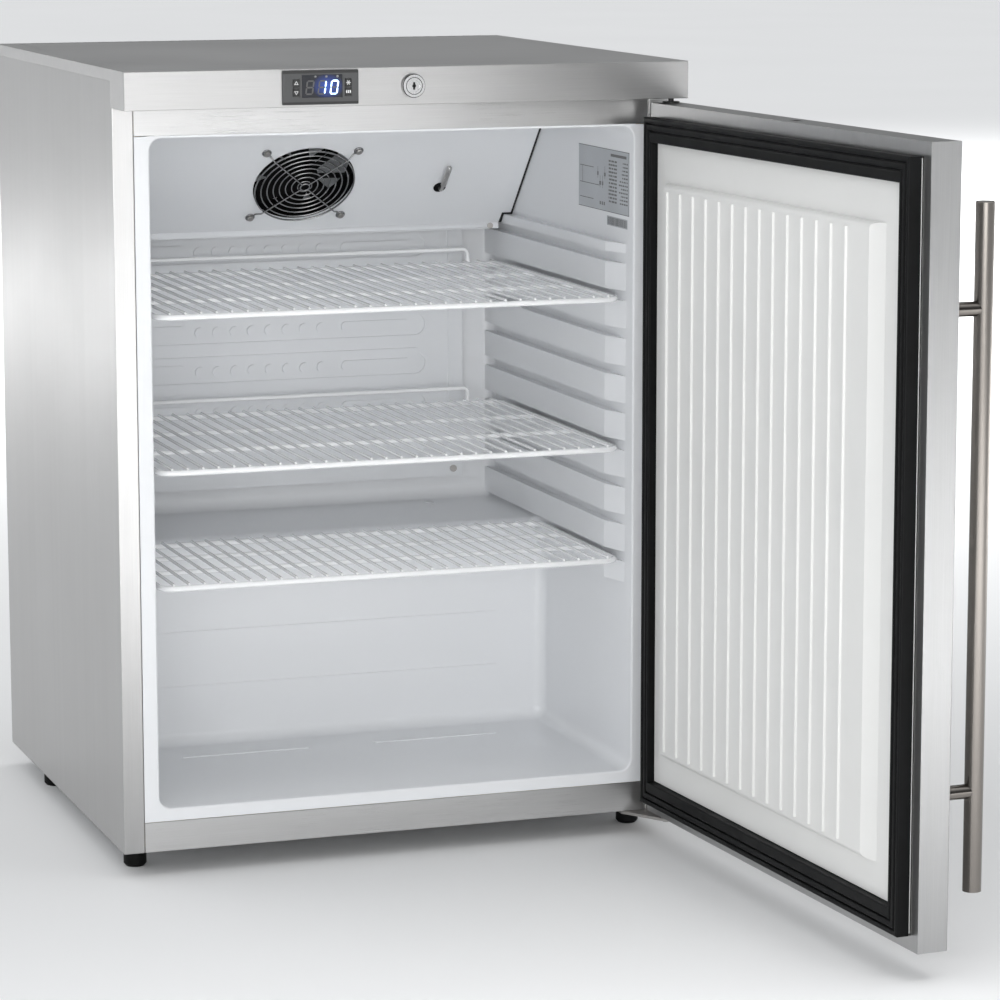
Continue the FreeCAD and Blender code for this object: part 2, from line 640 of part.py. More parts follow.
def make_probe():
    """Temperature probe that comes out of a grommet and lies against the cover."""
    side, drop = value("probe_x"), value("probe_drop")
    stand_off = -7
    grommet = Part.makeCylinder(5.4, 3, Vector(side, drop, -0.9))
    rim = Part.makeCylinder(7, 1.2, Vector(side, drop, -1.3))
    grommet = grommet.fuse(rim).cut(Part.makeCylinder(2.1, 8, Vector(side, drop, -4)))
    piece(plain(grommet, "probe_grommet"), "probe_grommet", fan_frame())
    lead = tube([(side, drop, 6), (side, drop, stand_off), (side + 0.5, drop - 12, stand_off)], 4, 1.8)
    end = Vector(side + 1.5, drop - 38, stand_off)
    bulb = straight(3, Vector(side + 0.5, drop - 10, stand_off), end)
    tip = Part.makeSphere(3, end)
    piece(plain(lead.multiFuse([bulb, tip]), "temperature_probe"), "temperature_probe", fan_frame())


def make_label():
    """Data plate and a strip below it on the right-hand wall."""
    face = "cavity_half - 0.3"
    plate = block((face, "cavity_half"), ("67", "218"), ("664", "731"))
    strip = block((face, "cavity_half"), ("72", "132"), ("650", "660"))
    piece(group(plate, strip, name="rating_label"), "rating_label")


# ---- shelves --------------------------------------------------------------------------

def make_shelf(label, level, depth, with_upstand):
    """Coated wire shelf: a rounded frame, two cross bars and a row of wires over them."""
    side, front = value("shelf_half"), value("shelf_front")
    thick, thin, z = value("frame_radius"), value("wire_radius"), value(level)
    back = front + depth - thick
    inset = side - thick
    corner = 16
    frame = tube([(0, front + thick, z), (inset, front + thick, z), (inset, back, z), (-inset, back, z),
                  (-inset, front + thick, z), (-0.0001, front + thick, z)], corner, thick)
    bars = [straight(thick - 0.5, Vector(-inset, y, z), Vector(inset, y, z))
            for y in (front + depth * 0.36, front + depth * 0.68)]
    wires = []
    lift = thick + thin - 0.6
    count, pitch = int(value("wire_count")), value("wire_pitch")
    for number in range(count):
        x = (number - (count - 1) / 2) * pitch
        tip = Vector(x, front + thick + 0.6, z + lift)
        wires += [straight(thin, tip, Vector(x, back - 0.6, z + lift)), Part.makeSphere(thin, tip)]
    parts = bars + wires
    if with_upstand:
        half, rise = value("upstand_half"), value("upstand")
        parts.append(tube([(-half, back, z), (-half, back, z + rise), (half, back, z + rise),
                           (half, back, z)], 6, thick - 0.7))
    piece(plain(frame.multiFuse(parts), label), label)


# ---- door -----------------------------------------------------------------------------

def door_swing():
    hinge = Vector(value("hinge_x"), value("hinge_y"), 0)
    return Placement(Vector(), Rotation(Z, value("door_angle")), hinge)


def bush_bores(radius, name):
    """Bores for the hinge bushes at the bottom and top of the door."""
    place = ("hinge_x", "hinge_y")
    return [rod(radius, "22", (*place, "door_bottom - 1"), name=name),
            rod(radius, "22", (*place, "door_top - 21"), name=name)]


def make_door_skin():
    """Steel pan with a return flange round its open back."""
    body = new_body("door_pan")
    back = "door_face + pan_depth"
    pad(body, "XZ", "door_face", back, span("door_half", "door_bottom", "door_top"))
    pocket(body, "XZ", "door_face + sheet", back,
           span("door_half - pan_flange", "door_bottom + pan_flange", "door_top - pan_flange"))
    pocket(body, "XZ", "door_face + sheet", f"{back} - sheet",
           span("door_half - sheet", "door_bottom + sheet", "door_top - sheet"))
    pocket(body, "XY", "door_top - 2", "door_top + 1", rect("-9", "9", *CAM_SLOT))
    round_edges(body, "2", lambda middle, way: middle.y < value("door_face") + 0.01)
    holes = bush_bores("bush_radius + 0.1", "skin_bore")
    holes += [rod("2.6", "4", ("handle_x", "door_face - 1", z), Y) for z in standoff_heights()]
    piece(cut(body, *holes, name="door_skin"), "door_skin", door_swing())


def standoff_heights():
    return "handle_mid - standoff_reach", "handle_mid + standoff_reach"


def make_door_foam():
    body = new_body("foam_slab")
    gap = "sheet + 0.1"
    pad(body, "XZ", f"door_face + {gap}", f"door_face + pan_depth - ({gap})",
        span(f"door_half - ({gap})", f"door_bottom + {gap}", f"door_top - ({gap})"))
    pad(body, "XZ", "door_face + 10", "liner_base - 2.1",
        span("gasket_inner - 3.1", "gasket_low + gasket_band + 3.1", "gasket_high - gasket_band - 3.1"))
    pad(body, "XZ", "door_face + 12", "panel_face - 2.1",
        rect("-panel_left + 0.1", "panel_right - 8.1", "panel_low + 3.1", "panel_high - 3.1"))
    tools = bush_bores("bush_radius + 0.2", "foam_bore")
    tools.append(block(("-10", "10"), CAM_SLOT, ("door_top - 30", "door_top")))
    tools += [rod("4.2", "12", ("handle_x", "door_face", z), Y) for z in standoff_heights()]
    piece(cut(body, *tools, name="door_foam"), "door_foam", door_swing())


def make_door_liner():
    """Moulded inner panel with a raised field and upright ribs."""
    body = new_body("door_liner_tray")
    seat = "door_face + pan_depth"
    pad(body, "XZ", seat, f"{seat} + 2", span("gasket_outer - 2", "gasket_low + 2", "gasket_high - 2"))
    pad(body, "XZ", seat, "liner_base",
        span("gasket_inner - 1", "gasket_low + gasket_band + 1", "gasket_high - gasket_band - 1"))
    field = new_body("door_field")
    low, high = "liner_base - 1", "panel_face"
    pad(field, "XY", "panel_low", "panel_high", [
        ("-panel_left - panel_bevel", low), ("panel_right", low), ("panel_right - 6", high),
        ("-panel_left", high)])
    round_edges(field, "field_round", lambda middle, way: middle.y > value(high) - 0.01 and is_along(way, X))
    ribs = new_body("door_ribs")
    first = "-panel_left + rib_start"
    rib = pad(ribs, "XY", "panel_low + rib_end", "panel_high - rib_end", [
        (f"{first} + 2", f"{high} - 1"), (f"{first} + rib_width + 2", f"{high} - 1"),
        (f"{first} + rib_width", f"{high} + rib_height"), (f"{first} + 4", f"{high} + rib_height")])
    repeat(ribs, rib, "X_Axis", "rib_pitch", "rib_count")
    whole = fuse(body, field, ribs, name="liner_whole")
    hollow = block(("-gasket_inner + 3", "gasket_inner - 3"), (f"{seat} - 1", "liner_base - 2"),
                   ("gasket_low + gasket_band + 3", "gasket_high - gasket_band - 3"))
    deep = block(("-panel_left", "panel_right - 8"), ("liner_base - 3", "panel_face - 2"),
                 ("panel_low + 3", "panel_high - 3"))
    piece(cut(whole, hollow, deep, name="door_liner_cut"), "door_liner", door_swing())


def make_gasket():
    """Magnetic seal: a frame of soft profile with two grooves round its face."""
    body = new_body("door_gasket_frame")
    seat = "door_face + pan_depth"

    def ring(inset, width):
        """A frame between two rectangles, measured in from the seal's outer edge."""
        edges = []
        for step in (inset, f"{inset} + {width}"):
            edges.append(span(f"gasket_outer - ({step})", f"gasket_low + {step}", f"gasket_high - ({step})"))
        return edges

    pad(body, "XZ", f"{seat} + 2.1", "gasket_face", span("gasket_outer", "gasket_low", "gasket_high"),
        span("gasket_inner", "gasket_low + gasket_band", "gasket_high - gasket_band"))
    for inset, width in (("5", "1.6"), ("12.5", "1.6")):
        pocket(body, "XZ", "gasket_face - 3", "gasket_face + 1", *ring(inset, width))
    round_edges(body, "1.4", lambda middle, way: middle.y > value("gasket_face") - 0.01)
    piece(body, "door_gasket", door_swing())


def make_handle():
    """Round bar on two stand-offs, screwed on through the door skin."""
    foot = ("handle_x", "handle_y", "handle_low")
    bar = rod("handle_radius", "handle_high - handle_low", foot, name="bar")
    doc.recompute()
    ends = doc.addObject("Part::Chamfer", "bar_ends")
    ends.Base = bar
    ends.Edges = [(1, 0.8, 0.8), (3, 0.8, 0.8)]
    seats = [rod("standoff_radius + 0.05", "12", ("handle_x", "handle_y + 3", z), Y, "seat")
             for z in standoff_heights()]
    piece(cut(ends, *seats, name="handle_bar"), "handle_bar", door_swing())
    legs = []
    screws = []
    for z in standoff_heights():
        root = ("handle_x", "handle_y + 3.1", z)
        leg = rod("standoff_radius", "door_face - handle_y - 3.1", root, Y, "leg")
        tapped = rod("2.5", "12", ("handle_x", "door_face - 11", z), Y, "tapped")
        legs.append(cut(leg, tapped, name="standoff"))
        shank = rod("2.45", "14", ("handle_x", "door_face - 10", z), Y, "shank")
        head = rod("4", "3", ("handle_x", "door_face + sheet + 0.1", z), Y, "head")
        screws.append(fuse(shank, head, name="handle_screw"))
    piece(group(*legs, name="handle_standoffs"), "handle_standoffs", door_swing())
    piece(group(*screws, name="handle_screws"), "handle_screws", door_swing())


def make_hinges():
    """Brackets on the cabinet with a pin each, and the bushes in the door that turn on them."""
    pin = ("hinge_x", "hinge_y")
    lower = new_body("lower_hinge_plate")
    pad(lower, "XY", "base_height - 3", "base_height", [
        ("250", "110"), ("250", "57"), ("280", "11"), ("286", "6"), ("293", "8"), ("296.5", "16"),
        ("296.5", "110")],
        ("circle", *pin, "pin_radius"), ("circle", "foot_x", "foot_front", "stud_radius + 0.5"))
    holes = [rod("2.1", "5", (x, y, "base_height - 4")) for x, y in LOWER_SCREWS]
    piece(cut(lower, *holes, name="lower_hinge_bracket"), "lower_hinge_bracket")
    upper = new_body("upper_hinge_plate")
    level = "793.5"
    pad(upper, "XY", level, f"{level} + 3", [
        ("262", "carcass_front"), ("262", "40"), ("277", "16"), ("288", "12"), ("296.5", "16"),
        ("296.5", "carcass_front")], ("circle", *pin, "pin_radius"))
    pad(upper, "XZ", "carcass_front - 3", "carcass_front", rect("262", "275.5", level, "824"))
    holes = [rod("2.1", "5", (x, "carcass_front - 4", z), Y) for x, z in UPPER_SCREWS]
    piece(cut(upper, *holes, name="upper_hinge_bracket"), "upper_hinge_bracket")
    pins = []
    for start, head in (("base_height - 3", "base_height - 5.5"), ("door_top - 16", f"{level} + 3")):
        length = "26" if "base" in start else f"{level} + 3.5 - (door_top - 16)"
        shank = rod("pin_radius", length, (*pin, start), name="pin")
        pins.append(fuse(shank, rod("5", "2.5", (*pin, head)), name="hinge_pin"))
    piece(group(*pins, name="hinge_pins"), "hinge_pins")
    bushes = []
    for start, rim in (("door_bottom - 1", "door_bottom - 1.6"), ("door_top - 20", "door_top")):
        sleeve = fuse(rod("bush_radius", "21", (*pin, start)), rod("9", "1.6", (*pin, rim)), name="sleeve")
        bore = rod("pin_radius + running_gap", "30", (*pin, f"{start} - 4"), name="bore")
        bushes.append(cut(sleeve, bore, name="bush"))
    piece(group(*bushes, name="hinge_bushes"), "hinge_bushes", door_swing())
    screws = []
    for x, y in LOWER_SCREWS:
        head = rod("4", "2", (x, y, "base_height - 5"))
        screws.append(fuse(rod("2", "3", (x, y, "base_height - 3")), head))
    for x, z in UPPER_SCREWS:
        head = rod("4", "2", (x, "carcass_front - 5", z), Y)
        screws.append(fuse(rod("2", "3", (x, "carcass_front - 3", z), Y), head))
    piece(group(*screws, name="hinge_screws"), "hinge_screws")


# ---- fascia fittings ------------------------------------------------------------------

def key_caps():
    """Names and centres of the controller's four keys."""
    return (("key_up", "key_left", "key_upper"), ("key_down", "key_left", "key_lower"),
            ("key_light", "key_right", "key_upper"), ("key_set", "key_right", "key_lower"))


def make_controller():
    """Digital thermostat: bezel, display window, body behind the fascia and four keys."""
    body = new_body("controller_bezel")
    face = "-bezel_proud"
    pad(body, "XZ", face, "-0.05", rect("bezel_left", "bezel_right", "bezel_low", "bezel_high"))
    round_edges(body, "1.2", lambda middle, way: is_along(way, Y) or middle.y < value(face) + 0.01)
    pocket(body, "XZ", f"{face} - 1", f"{face} + 1.1",
           rect("key_left + 6", "key_right - 6", "bezel_low + 7", "bezel_high - 4.5"))
    for _, x, z in key_caps():
        hole = rect(f"{x} - 3.6", f"{x} + 3.6", f"{z} - 4.1", f"{z} + 4.1")
        pocket(body, "XZ", f"{face} - 1", "0", hole)
    piece(body, "controller_bezel")
    window = block(("key_left + 6.1", "key_right - 6.1"), (f"{face} + 0.1", f"{face} + 1.05"),
                   ("bezel_low + 7.1", "bezel_high - 4.6"), "display_window")
    piece(window, "display_window")
    case = block(("bezel_left + 4.3", "bezel_right - 4.3"), ("1.8", "49"),
                 ("bezel_low + 2.8", "bezel_high - 2.8"), "controller_body")
    piece(case, "controller_body")
    for label, x, z in key_caps():
        cap = new_body(label)
        pad(cap, "XZ", f"{face} - key_proud", "1.1",
            rect(f"{x} - 3.5", f"{x} + 3.5", f"{z} - 4", f"{z} + 4"))
        round_edges(cap, "2.6", lambda middle, way: is_along(way, Y))
        piece(cap, label)


def make_lock():
    """Cam lock: ringed barrel, nut, turning plug with a key slot, and the cam behind."""
    axis_z = "lock_z"
    ring = rod("lock_ring", "3.9", ("0", "-4", axis_z), Y)
    barrel = fuse(ring, rod("lock_barrel", "22", ("0", "-1", axis_z), Y))
    bore = rod("lock_plug + running_gap", "30", ("0", "-5", axis_z), Y)
    piece(cut(barrel, bore, name="lock_housing"), "lock_housing")
    nut = doc.addObject("Part::Prism", "nut")
    nut.Polygon = 6
    bind(nut, "Circumradius", "lock_ring + 1.6")
    nut.Height = 4
    nut.Placement = Placement(Vector(0, value("sheet") + 0.1, value(axis_z)), Rotation(Z, Y))
    thread = rod("lock_barrel + 0.05", "10", ("0", "-2", axis_z), Y)
    piece(cut(nut, thread, name="lock_nut"), "lock_nut")
    plug = rod("lock_plug", "24.8", ("0", "-3.4", axis_z), Y)
    keyway = block(("-1.1", "1.1"), ("-5", "8"), (f"{axis_z} - 3.8", f"{axis_z} + 3.8"))
    stud = rod("3", "3", ("0", "21.3", axis_z), Y)
    piece(fuse(cut(plug, keyway, name="slotted_plug"), stud, name="lock_plug"), "lock_plug")
    arm = block(("-6", "29"), ("21.5", "23.5"), (f"{axis_z} - 5", f"{axis_z} + 5"))
    piece(cut(arm, rod("3.02", "6", ("0", "20", axis_z), Y), name="lock_cam"), "lock_cam")


# ---- refrigeration machine ------------------------------------------------------------

def make_compressor():
    """Hermetic pot with a seam, on a foot plate with rubber grommets."""
    pot = new_body("compressor_pot")
    wall, low, high = "pot_radius", "pot_low", "pot_high"
    profile = [("0", low), (f"{wall} - 10", low), (wall, f"{low} + 12"), (wall, "seam_z"),
               (f"{wall} + 4", "seam_z"), (f"{wall} + 4", "seam_z + 6"), (wall, "seam_z + 6"),
               (wall, f"{high} - 36"), (f"{wall} - 20", f"{high} - 10"), ("0", high)]
    sketch = sketch_on(pot, "XZ", "0", [profile])
    turned = pot.newObject("PartDesign::Revolution", "compressor_turned")
    turned.Profile = sketch
    turned.ReferenceAxis = (origin_part(pot, "Z_Axis"), [""])
    turned.Angle = 360
    pot.Placement = Placement(Vector(value("pot_x"), value("pot_y"), 0), Rotation())
    plate = block(("pot_x - plate_x", "pot_x + plate_x"), ("pot_y - plate_y", "pot_y + plate_y"),
                  ("plate_z", "plate_z + 5"))
    stubs = [rod("4", "24", ("pot_x + pot_radius - 16", "pot_y", z), X) for z in ("stub_low", "stub_high")]
    bores = [rod("5.1", "12", (x, y, "plate_z - 4")) for x, y in grommet_places()]
    body = cut(fuse(pot, plate, *stubs, name="compressor_solid"), *bores, name="compressor")
    piece(body, "compressor")
    rings = [fuse(rod("9", "13.9", (x, y, "base_height + 1.05")), rod("5", "8", (x, y, "plate_z - 1")),
                  rod("8", "3", (x, y, "plate_z + 5.1"))) for x, y in grommet_places()]
    piece(group(*rings, name="compressor_grommets"), "compressor_grommets")
    near = "pot_x - pot_radius - 4.5"
    box = block((f"{near} - 45.5", near), ("pot_y - 30", "pot_y + 30"), ("84", "150"), "terminal_box")
    piece(box, "terminal_box")


def grommet_places():
    """Centres of the four grommets, 12 mm in from the foot plate's corners."""
    return [(f"pot_x + {u} * (plate_x - 12)", f"pot_y + {v} * (plate_y - 12)")
            for u in (-1, 1) for v in (-1, 1)]


def make_condenser():
    """Serpentine tube behind the back panel, with flat brackets that carry it."""
    depth = value("coil_y")
    left, right = value("-coil_half"), value("coil_half")
    tube_radius, strap, bend = value("discharge_radius"), 1.6, 24
    levels = [value("coil_low") + value("coil_pitch") * number for number in range(int(value("coil_runs")))]
    overrun = 30
    low, high = levels[0] - overrun, levels[-1] + overrun
    strap_face = depth + tube_radius - 0.4
    sheet_face = value("back_sheet") + 1
    points = [(left + overrun, depth, levels[0])]
    for number, z in enumerate(levels):
        near, far = (left, right) if number % 2 == 0 else (right, left)
        if number:
            points.append((near, depth, z))
        points.append((far, depth, z))
    last = points[-1][0]
    points[-1] = (last - math.copysign(overrun, last), depth, levels[-1])
    coil = tube(points, bend, tube_radius)
    straps = []
    tabs = []
    for x in (-178, -8, 162):
        straps.append(Part.makeBox(16, strap, high - low, Vector(x, strap_face, low)))
        tabs += [Part.makeBox(16, strap_face + strap - sheet_face, strap, Vector(x, sheet_face, z))
                 for z in (low, high - strap)]
    piece(plain(coil.multiFuse(straps + tabs), "condenser"), "condenser")


def make_lines():
    """Drier, suction, discharge and capillary tubes in the machine space."""
    x, y, low = value("drier_x"), value("drier_y"), value("drier_low")
    radius, length, taper = value("drier_radius"), value("drier_length"), 14
    drier = Part.makeCylinder(radius, length, Vector(x, y, low))
    cone_low = Part.makeCone(2.5, radius, taper, Vector(x, y, low - taper))
    cone_high = Part.makeCone(radius, 3, taper, Vector(x, y, low + length))
    drier = drier.multiFuse([cone_low, cone_high]).removeSplitter()
    piece(plain(drier, "filter_drier"), "filter_drier")
    bend = 10
    top = value("step_top") - 4
    pot_y, stub = value("pot_y"), value("pot_x + pot_radius + 8.1")
    suction_x, suction_y, suction_z = value("suction_x"), value("suction_y"), value("stub_high")
    suction = tube([(stub, pot_y, suction_z), (10, pot_y, suction_z), (10, suction_y, 175),
                    (10, suction_y, 230), (suction_x, suction_y, 230), (suction_x, suction_y, top)],
                   bend, value("suction_radius"))
    coil_y, start = value("coil_y"), value("coil_low")
    entry, discharge_z = value("-coil_half + 30"), value("stub_low")
    discharge = tube([(stub, pot_y, discharge_z), (30, pot_y, discharge_z), (30, 566, discharge_z),
                      (30, 566, 240), (entry, 566, 240), (entry, coil_y, 262), (entry, coil_y, start - 8)],
                     bend, value("discharge_radius"))
    capillary_x = value("capillary_x")
    capillary = tube([(x, y, low - taper - 0.1), (x, y, 70), (90, 520, 70), (90, 520, 222),
                      (capillary_x, 520, 222), (capillary_x, suction_y, 240), (capillary_x, suction_y, top)],
                     bend, value("capillary_radius"))
    lines = Part.makeCompound([suction, discharge, capillary])
    piece(plain(lines, "refrigerant_lines"), "refrigerant_lines")


def make_drain():
    """Drip tray on the machine base and the tube that feeds it."""
    tray = new_body("drip_tray")
    outline = rect("tray_left", "tray_right", "tray_near", "tray_far")
    pad(tray, "XY", "base_height + 1.1", "tray_rim", outline)
    pocket(tray, "XY", "base_height + 3", "tray_rim + 1",
           rect("tray_left + 2", "tray_right - 2", "tray_near + 2", "tray_far - 2"))
    piece(tray, "drip_tray")
    mouth = "tray_rim + 5"
    pipe = rod("6", f"step_top - liner_wall - ({mouth})", ("drain_x", "drain_y", mouth))
    bore = rod("4.5", "300", ("drain_x", "drain_y", "60"))
    piece(cut(pipe, bore, name="drain_tube"), "drain_tube")
    socket = block(("190", "240"), ("560", "590"), ("base_height + 1.1", "60"))
    recess = block(("200", "230"), ("575", "591"), ("36", "52"))
    piece(cut(socket, recess, name="power_inlet"), "power_inlet")


# ---- feet -----------------------------------------------------------------------------

def make_feet():
    """Screw feet and the inserts they turn in."""
    inserts = []
    for label, x, y in foot_places():
        sleeve = rod("stud_radius + 4", "34", (x, y, "base_height + 1.1"))
        bore = rod("stud_radius + running_gap", "40", (x, y, "base_height"))
        inserts.append(cut(sleeve, bore, name="insert"))
        foot = new_body(label + "_pad")
        sketch = sketch_on(foot, "XZ", "0", [[
            ("0", "0"), ("foot_radius - 2.5", "0"), ("foot_radius", "3"), ("foot_radius", "15"),
            ("foot_radius - 2", "17"), ("stud_radius", "17"), ("stud_radius", "56"), ("0", "56")]])
        turned = foot.newObject("PartDesign::Revolution", label + "_turned")
        turned.Profile = sketch
        turned.ReferenceAxis = (origin_part(foot, "Z_Axis"), [""])
        turned.Angle = 360
        foot.Placement = Placement(Vector(value(x), value(y), 0), Rotation())
        piece(foot, label)
    piece(group(*inserts, name="levelling_inserts"), "levelling_inserts")


def make_all():
    make_worktop()
    make_side_panel("side_panel_left", "-1")
    make_side_panel("side_panel_right", "1")
    make_front_rails()
    make_base_and_back()
    make_liner()
    make_insulation()
    make_evaporator_cover()
    make_fan()
    make_fan_guard()
    make_evaporator_plate()
    make_panel_screws()
    make_probe()
    make_label()
    make_shelf("shelf_upper", "shelf_top_z", value("shelf_depth"), True)
    make_shelf("shelf_middle", "shelf_mid_z", value("shelf_depth"), True)
    make_shelf("shelf_lower", "shelf_low_z", value("short_depth"), False)
    make_door_skin()
    make_door_foam()
    make_door_liner()
    make_gasket()
    make_handle()
    make_hinges()
    make_controller()
    make_lock()
    make_compressor()
    make_condenser()
    make_lines()
    make_drain()
    make_feet()


def check_and_export():
    doc.recompute()
    for item in doc.Objects:
        if {"Invalid", "Error"} & set(item.State):
            raise RuntimeError(f"{item.Label} failed: {item.State}")
    os.makedirs("parts", exist_ok=True)
    for item in PIECES:
        if item.Shape.isNull() or not item.Shape.isValid():
            raise RuntimeError(f"{item.Label} has no valid shape")
        item.Shape.exportStep(f"parts/{item.Label}.step")
    print(len(PIECES), "pieces written")


make_all()
check_and_export()
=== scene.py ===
"""Undercounter refrigerator: its finishes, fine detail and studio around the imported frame.

Lengths are metres in the frame's axes: X to the right, Y to the back and Z up.
"""
import bmesh
import bpy
import math
import random
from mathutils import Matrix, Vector


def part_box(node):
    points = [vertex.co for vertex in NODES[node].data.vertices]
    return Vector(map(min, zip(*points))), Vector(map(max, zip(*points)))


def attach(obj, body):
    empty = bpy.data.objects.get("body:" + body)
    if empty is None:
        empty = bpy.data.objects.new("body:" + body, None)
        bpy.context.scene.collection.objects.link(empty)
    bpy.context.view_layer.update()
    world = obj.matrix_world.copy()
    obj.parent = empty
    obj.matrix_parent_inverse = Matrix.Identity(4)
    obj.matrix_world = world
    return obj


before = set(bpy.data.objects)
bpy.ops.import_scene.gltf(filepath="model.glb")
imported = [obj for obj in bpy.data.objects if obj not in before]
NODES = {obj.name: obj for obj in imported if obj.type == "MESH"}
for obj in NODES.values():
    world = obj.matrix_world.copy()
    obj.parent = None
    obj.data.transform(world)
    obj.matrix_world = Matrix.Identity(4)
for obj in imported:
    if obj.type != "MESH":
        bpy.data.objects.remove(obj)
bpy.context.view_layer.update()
MM = 0.001


# ---- finishes -------------------------------------------------------------------------

class Finish:
    """A material with one Principled shader and procedural nodes in front of it."""

    def __init__(self, name, **sockets):
        self.material = bpy.data.materials.new(name)
        self.material.use_nodes = True
        self.tree = self.material.node_tree
        self.shader = self.tree.nodes["Principled BSDF"]
        for socket, value in sockets.items():
            self.shader.inputs[socket.replace("_", " ")].default_value = value

    def node(self, kind, **inputs):
        made = self.tree.nodes.new("ShaderNode" + kind)
        for socket, value in inputs.items():
            self.feed(made.inputs[socket.replace("_", " ")], value)
        return made

    def feed(self, socket, value):
        if isinstance(value, bpy.types.NodeSocket):
            self.tree.links.new(value, socket)
        else:
            socket.default_value = value

    def point(self, scale):
        """The point in the piece's own axes, in steps of 1 / scale metres along each axis."""
        mapping = self.node("Mapping", Vector=self.node("TexCoord").outputs["Object"])
        mapping.inputs["Scale"].default_value = scale
        return mapping.outputs["Vector"]

    def noise(self, scale, detail=3.0, roughness=0.5):
        made = self.node("TexNoise", Vector=self.point(scale), Scale=1.0, Detail=detail,
                         Roughness=roughness)
        return made.outputs["Fac"]

    def cells(self, scale):
        return self.node("TexVoronoi", Vector=self.point(scale), Scale=1.0)

    def ranged(self, factor, low, high, start=0.3, end=0.7):
        """The factor's span from start to end, as a number from low to high."""
        made = self.node("MapRange", Value=factor)
        made.inputs["From Min"].default_value = start
        made.inputs["From Max"].default_value = end
        made.inputs["To Min"].default_value = low
        made.inputs["To Max"].default_value = high
        return made.outputs["Result"]

    def mixed(self, factor, first, second):
        made = self.node("MixRGB", Fac=factor, Color1=first, Color2=second)
        return made.outputs["Color"]

    def math(self, operation, first, second):
        made = self.node("Math")
        made.operation = operation
        self.feed(made.inputs[0], first)
        self.feed(made.inputs[1], second)
        return made.outputs["Value"]

    def set(self, **sockets):
        for socket, value in sockets.items():
            self.feed(self.shader.inputs[socket.replace("_", " ")], value)
        return self

    def tangent(self, axis):
        """Sets the way that the brushing runs, in the part's own axes."""
        way = self.node("CombineXYZ")
        way.inputs[axis].default_value = 1
        turned = self.node("VectorTransform", Vector=way.outputs["Vector"])
        turned.vector_type = "VECTOR"
        turned.convert_from = "OBJECT"
        turned.convert_to = "WORLD"
        self.set(Tangent=turned.outputs["Vector"])

    def bump(self, height, depth, strength=1.0):
        made = self.node("Bump", Height=height, Strength=strength, Distance=depth)
        self.feed(self.shader.inputs["Normal"], made.outputs["Normal"])
        return self


def grey(level, warmth=0.0):
    """A grey colour, a little warmer or cooler."""
    return (level * (1 + warmth), level, level * (1 - warmth), 1.0)


def along(axis, lengthways, across):
    """A texture scale, in cells per metre, that is drawn out along one axis."""
    scale = [across] * 3
    scale["XYZ".index(axis)] = lengthways
    return scale


def brushed_steel(name, grain, shade=0.6, roughness=0.3, warmth=0.01):
    """Satin stainless sheet: fine grain one way, faint broad bands and hand-wiped clouds."""
    finish = Finish(name, Metallic=1.0, Anisotropic=0.6, Anisotropic_Rotation=0.25)
    finish.tangent(grain)
    fine = finish.noise(along(grain, 14, 2600), 2.0)
    bands = finish.noise(along(grain, 1.2, 85), 4.0, 0.6)
    clouds = finish.noise((5, 5, 5), 3.0)
    tone = finish.math("ADD", finish.ranged(bands, 0, 0.3), finish.ranged(fine, 0, 0.7))
    dark, light = grey(shade * 0.93, warmth), grey(shade * 1.06, warmth)
    dull = finish.math("ADD", finish.ranged(fine, roughness - 0.03, roughness + 0.03),
                       finish.ranged(clouds, -0.02, 0.03))
    finish.set(Base_Color=finish.mixed(tone, dark, light), Roughness=dull)
    finish.bump(fine, 0.000004, 0.3)
    return finish.material


def polished_metal(name, shade=0.8, roughness=0.1, warmth=0.0):
    """Plated wire and turned parts: bright, with hairline scratches and dull spots."""
    finish = Finish(name, Metallic=1.0)
    scratches = finish.noise((900, 900, 60), 2.0)
    spots = finish.noise((55, 55, 55), 5.0)
    tone = finish.ranged(spots, 0, 1)
    finish.set(Base_Color=finish.mixed(tone, grey(shade * 0.9, warmth), grey(shade, warmth)),
               Roughness=finish.ranged(scratches, roughness, roughness + 0.12))
    finish.bump(scratches, 0.00001, 0.3)
    return finish.material


def moulded_plastic(name, light, dark, roughness=0.3, peel=240, depth=0.000006, coat=0.0, shine=0.5):
    """Thermoformed or injection-moulded plastic with a faint orange peel and soft tone."""
    finish = Finish(name, IOR=1.5, Specular_IOR_Level=shine, Coat_Weight=coat, Coat_Roughness=0.12)
    skin = finish.noise((peel, peel, peel), 2.0)
    clouds = finish.noise((7, 7, 7), 3.0)
    rubbing = finish.noise((14, 14, 14), 3.0)
    finish.set(Base_Color=finish.mixed(finish.ranged(clouds, 0, 1), dark, light),
               Roughness=finish.ranged(rubbing, roughness - 0.02, roughness + 0.03))
    finish.bump(skin, depth, 0.5)
    return finish.material


def painted_metal(name, light, dark, roughness=0.35):
    """Powder-coated sheet: fine even texture and a slight change of tone."""
    finish = Finish(name, IOR=1.5)
    grain = finish.noise((1300, 1300, 1300), 3.0)
    clouds = finish.noise((9, 9, 9), 3.0)
    finish.set(Base_Color=finish.mixed(finish.ranged(clouds, 0, 1), dark, light),
               Roughness=finish.ranged(grain, roughness - 0.03, roughness + 0.05))
    finish.bump(grain, 0.000006, 0.5)
    return finish.material


def galvanised_sheet(name):
    """Zinc-coated steel with its spangle."""
    finish = Finish(name, Metallic=1.0)
    spangle = finish.cells((75, 75, 75))
    flake = finish.node("SeparateColor", Color=spangle.outputs["Color"]).outputs["Red"]
    blur = finish.noise((20, 20, 20), 4.0)
    tone = finish.math("ADD", finish.ranged(flake, 0, 0.7, 0, 1), finish.ranged(blur, 0, 0.3))
    finish.set(Base_Color=finish.mixed(tone, grey(0.4, -0.02), grey(0.62, -0.02)),
               Roughness=finish.ranged(flake, 0.34, 0.52, 0, 1))
    finish.bump(flake, 0.00002, 0.3)
    return finish.material


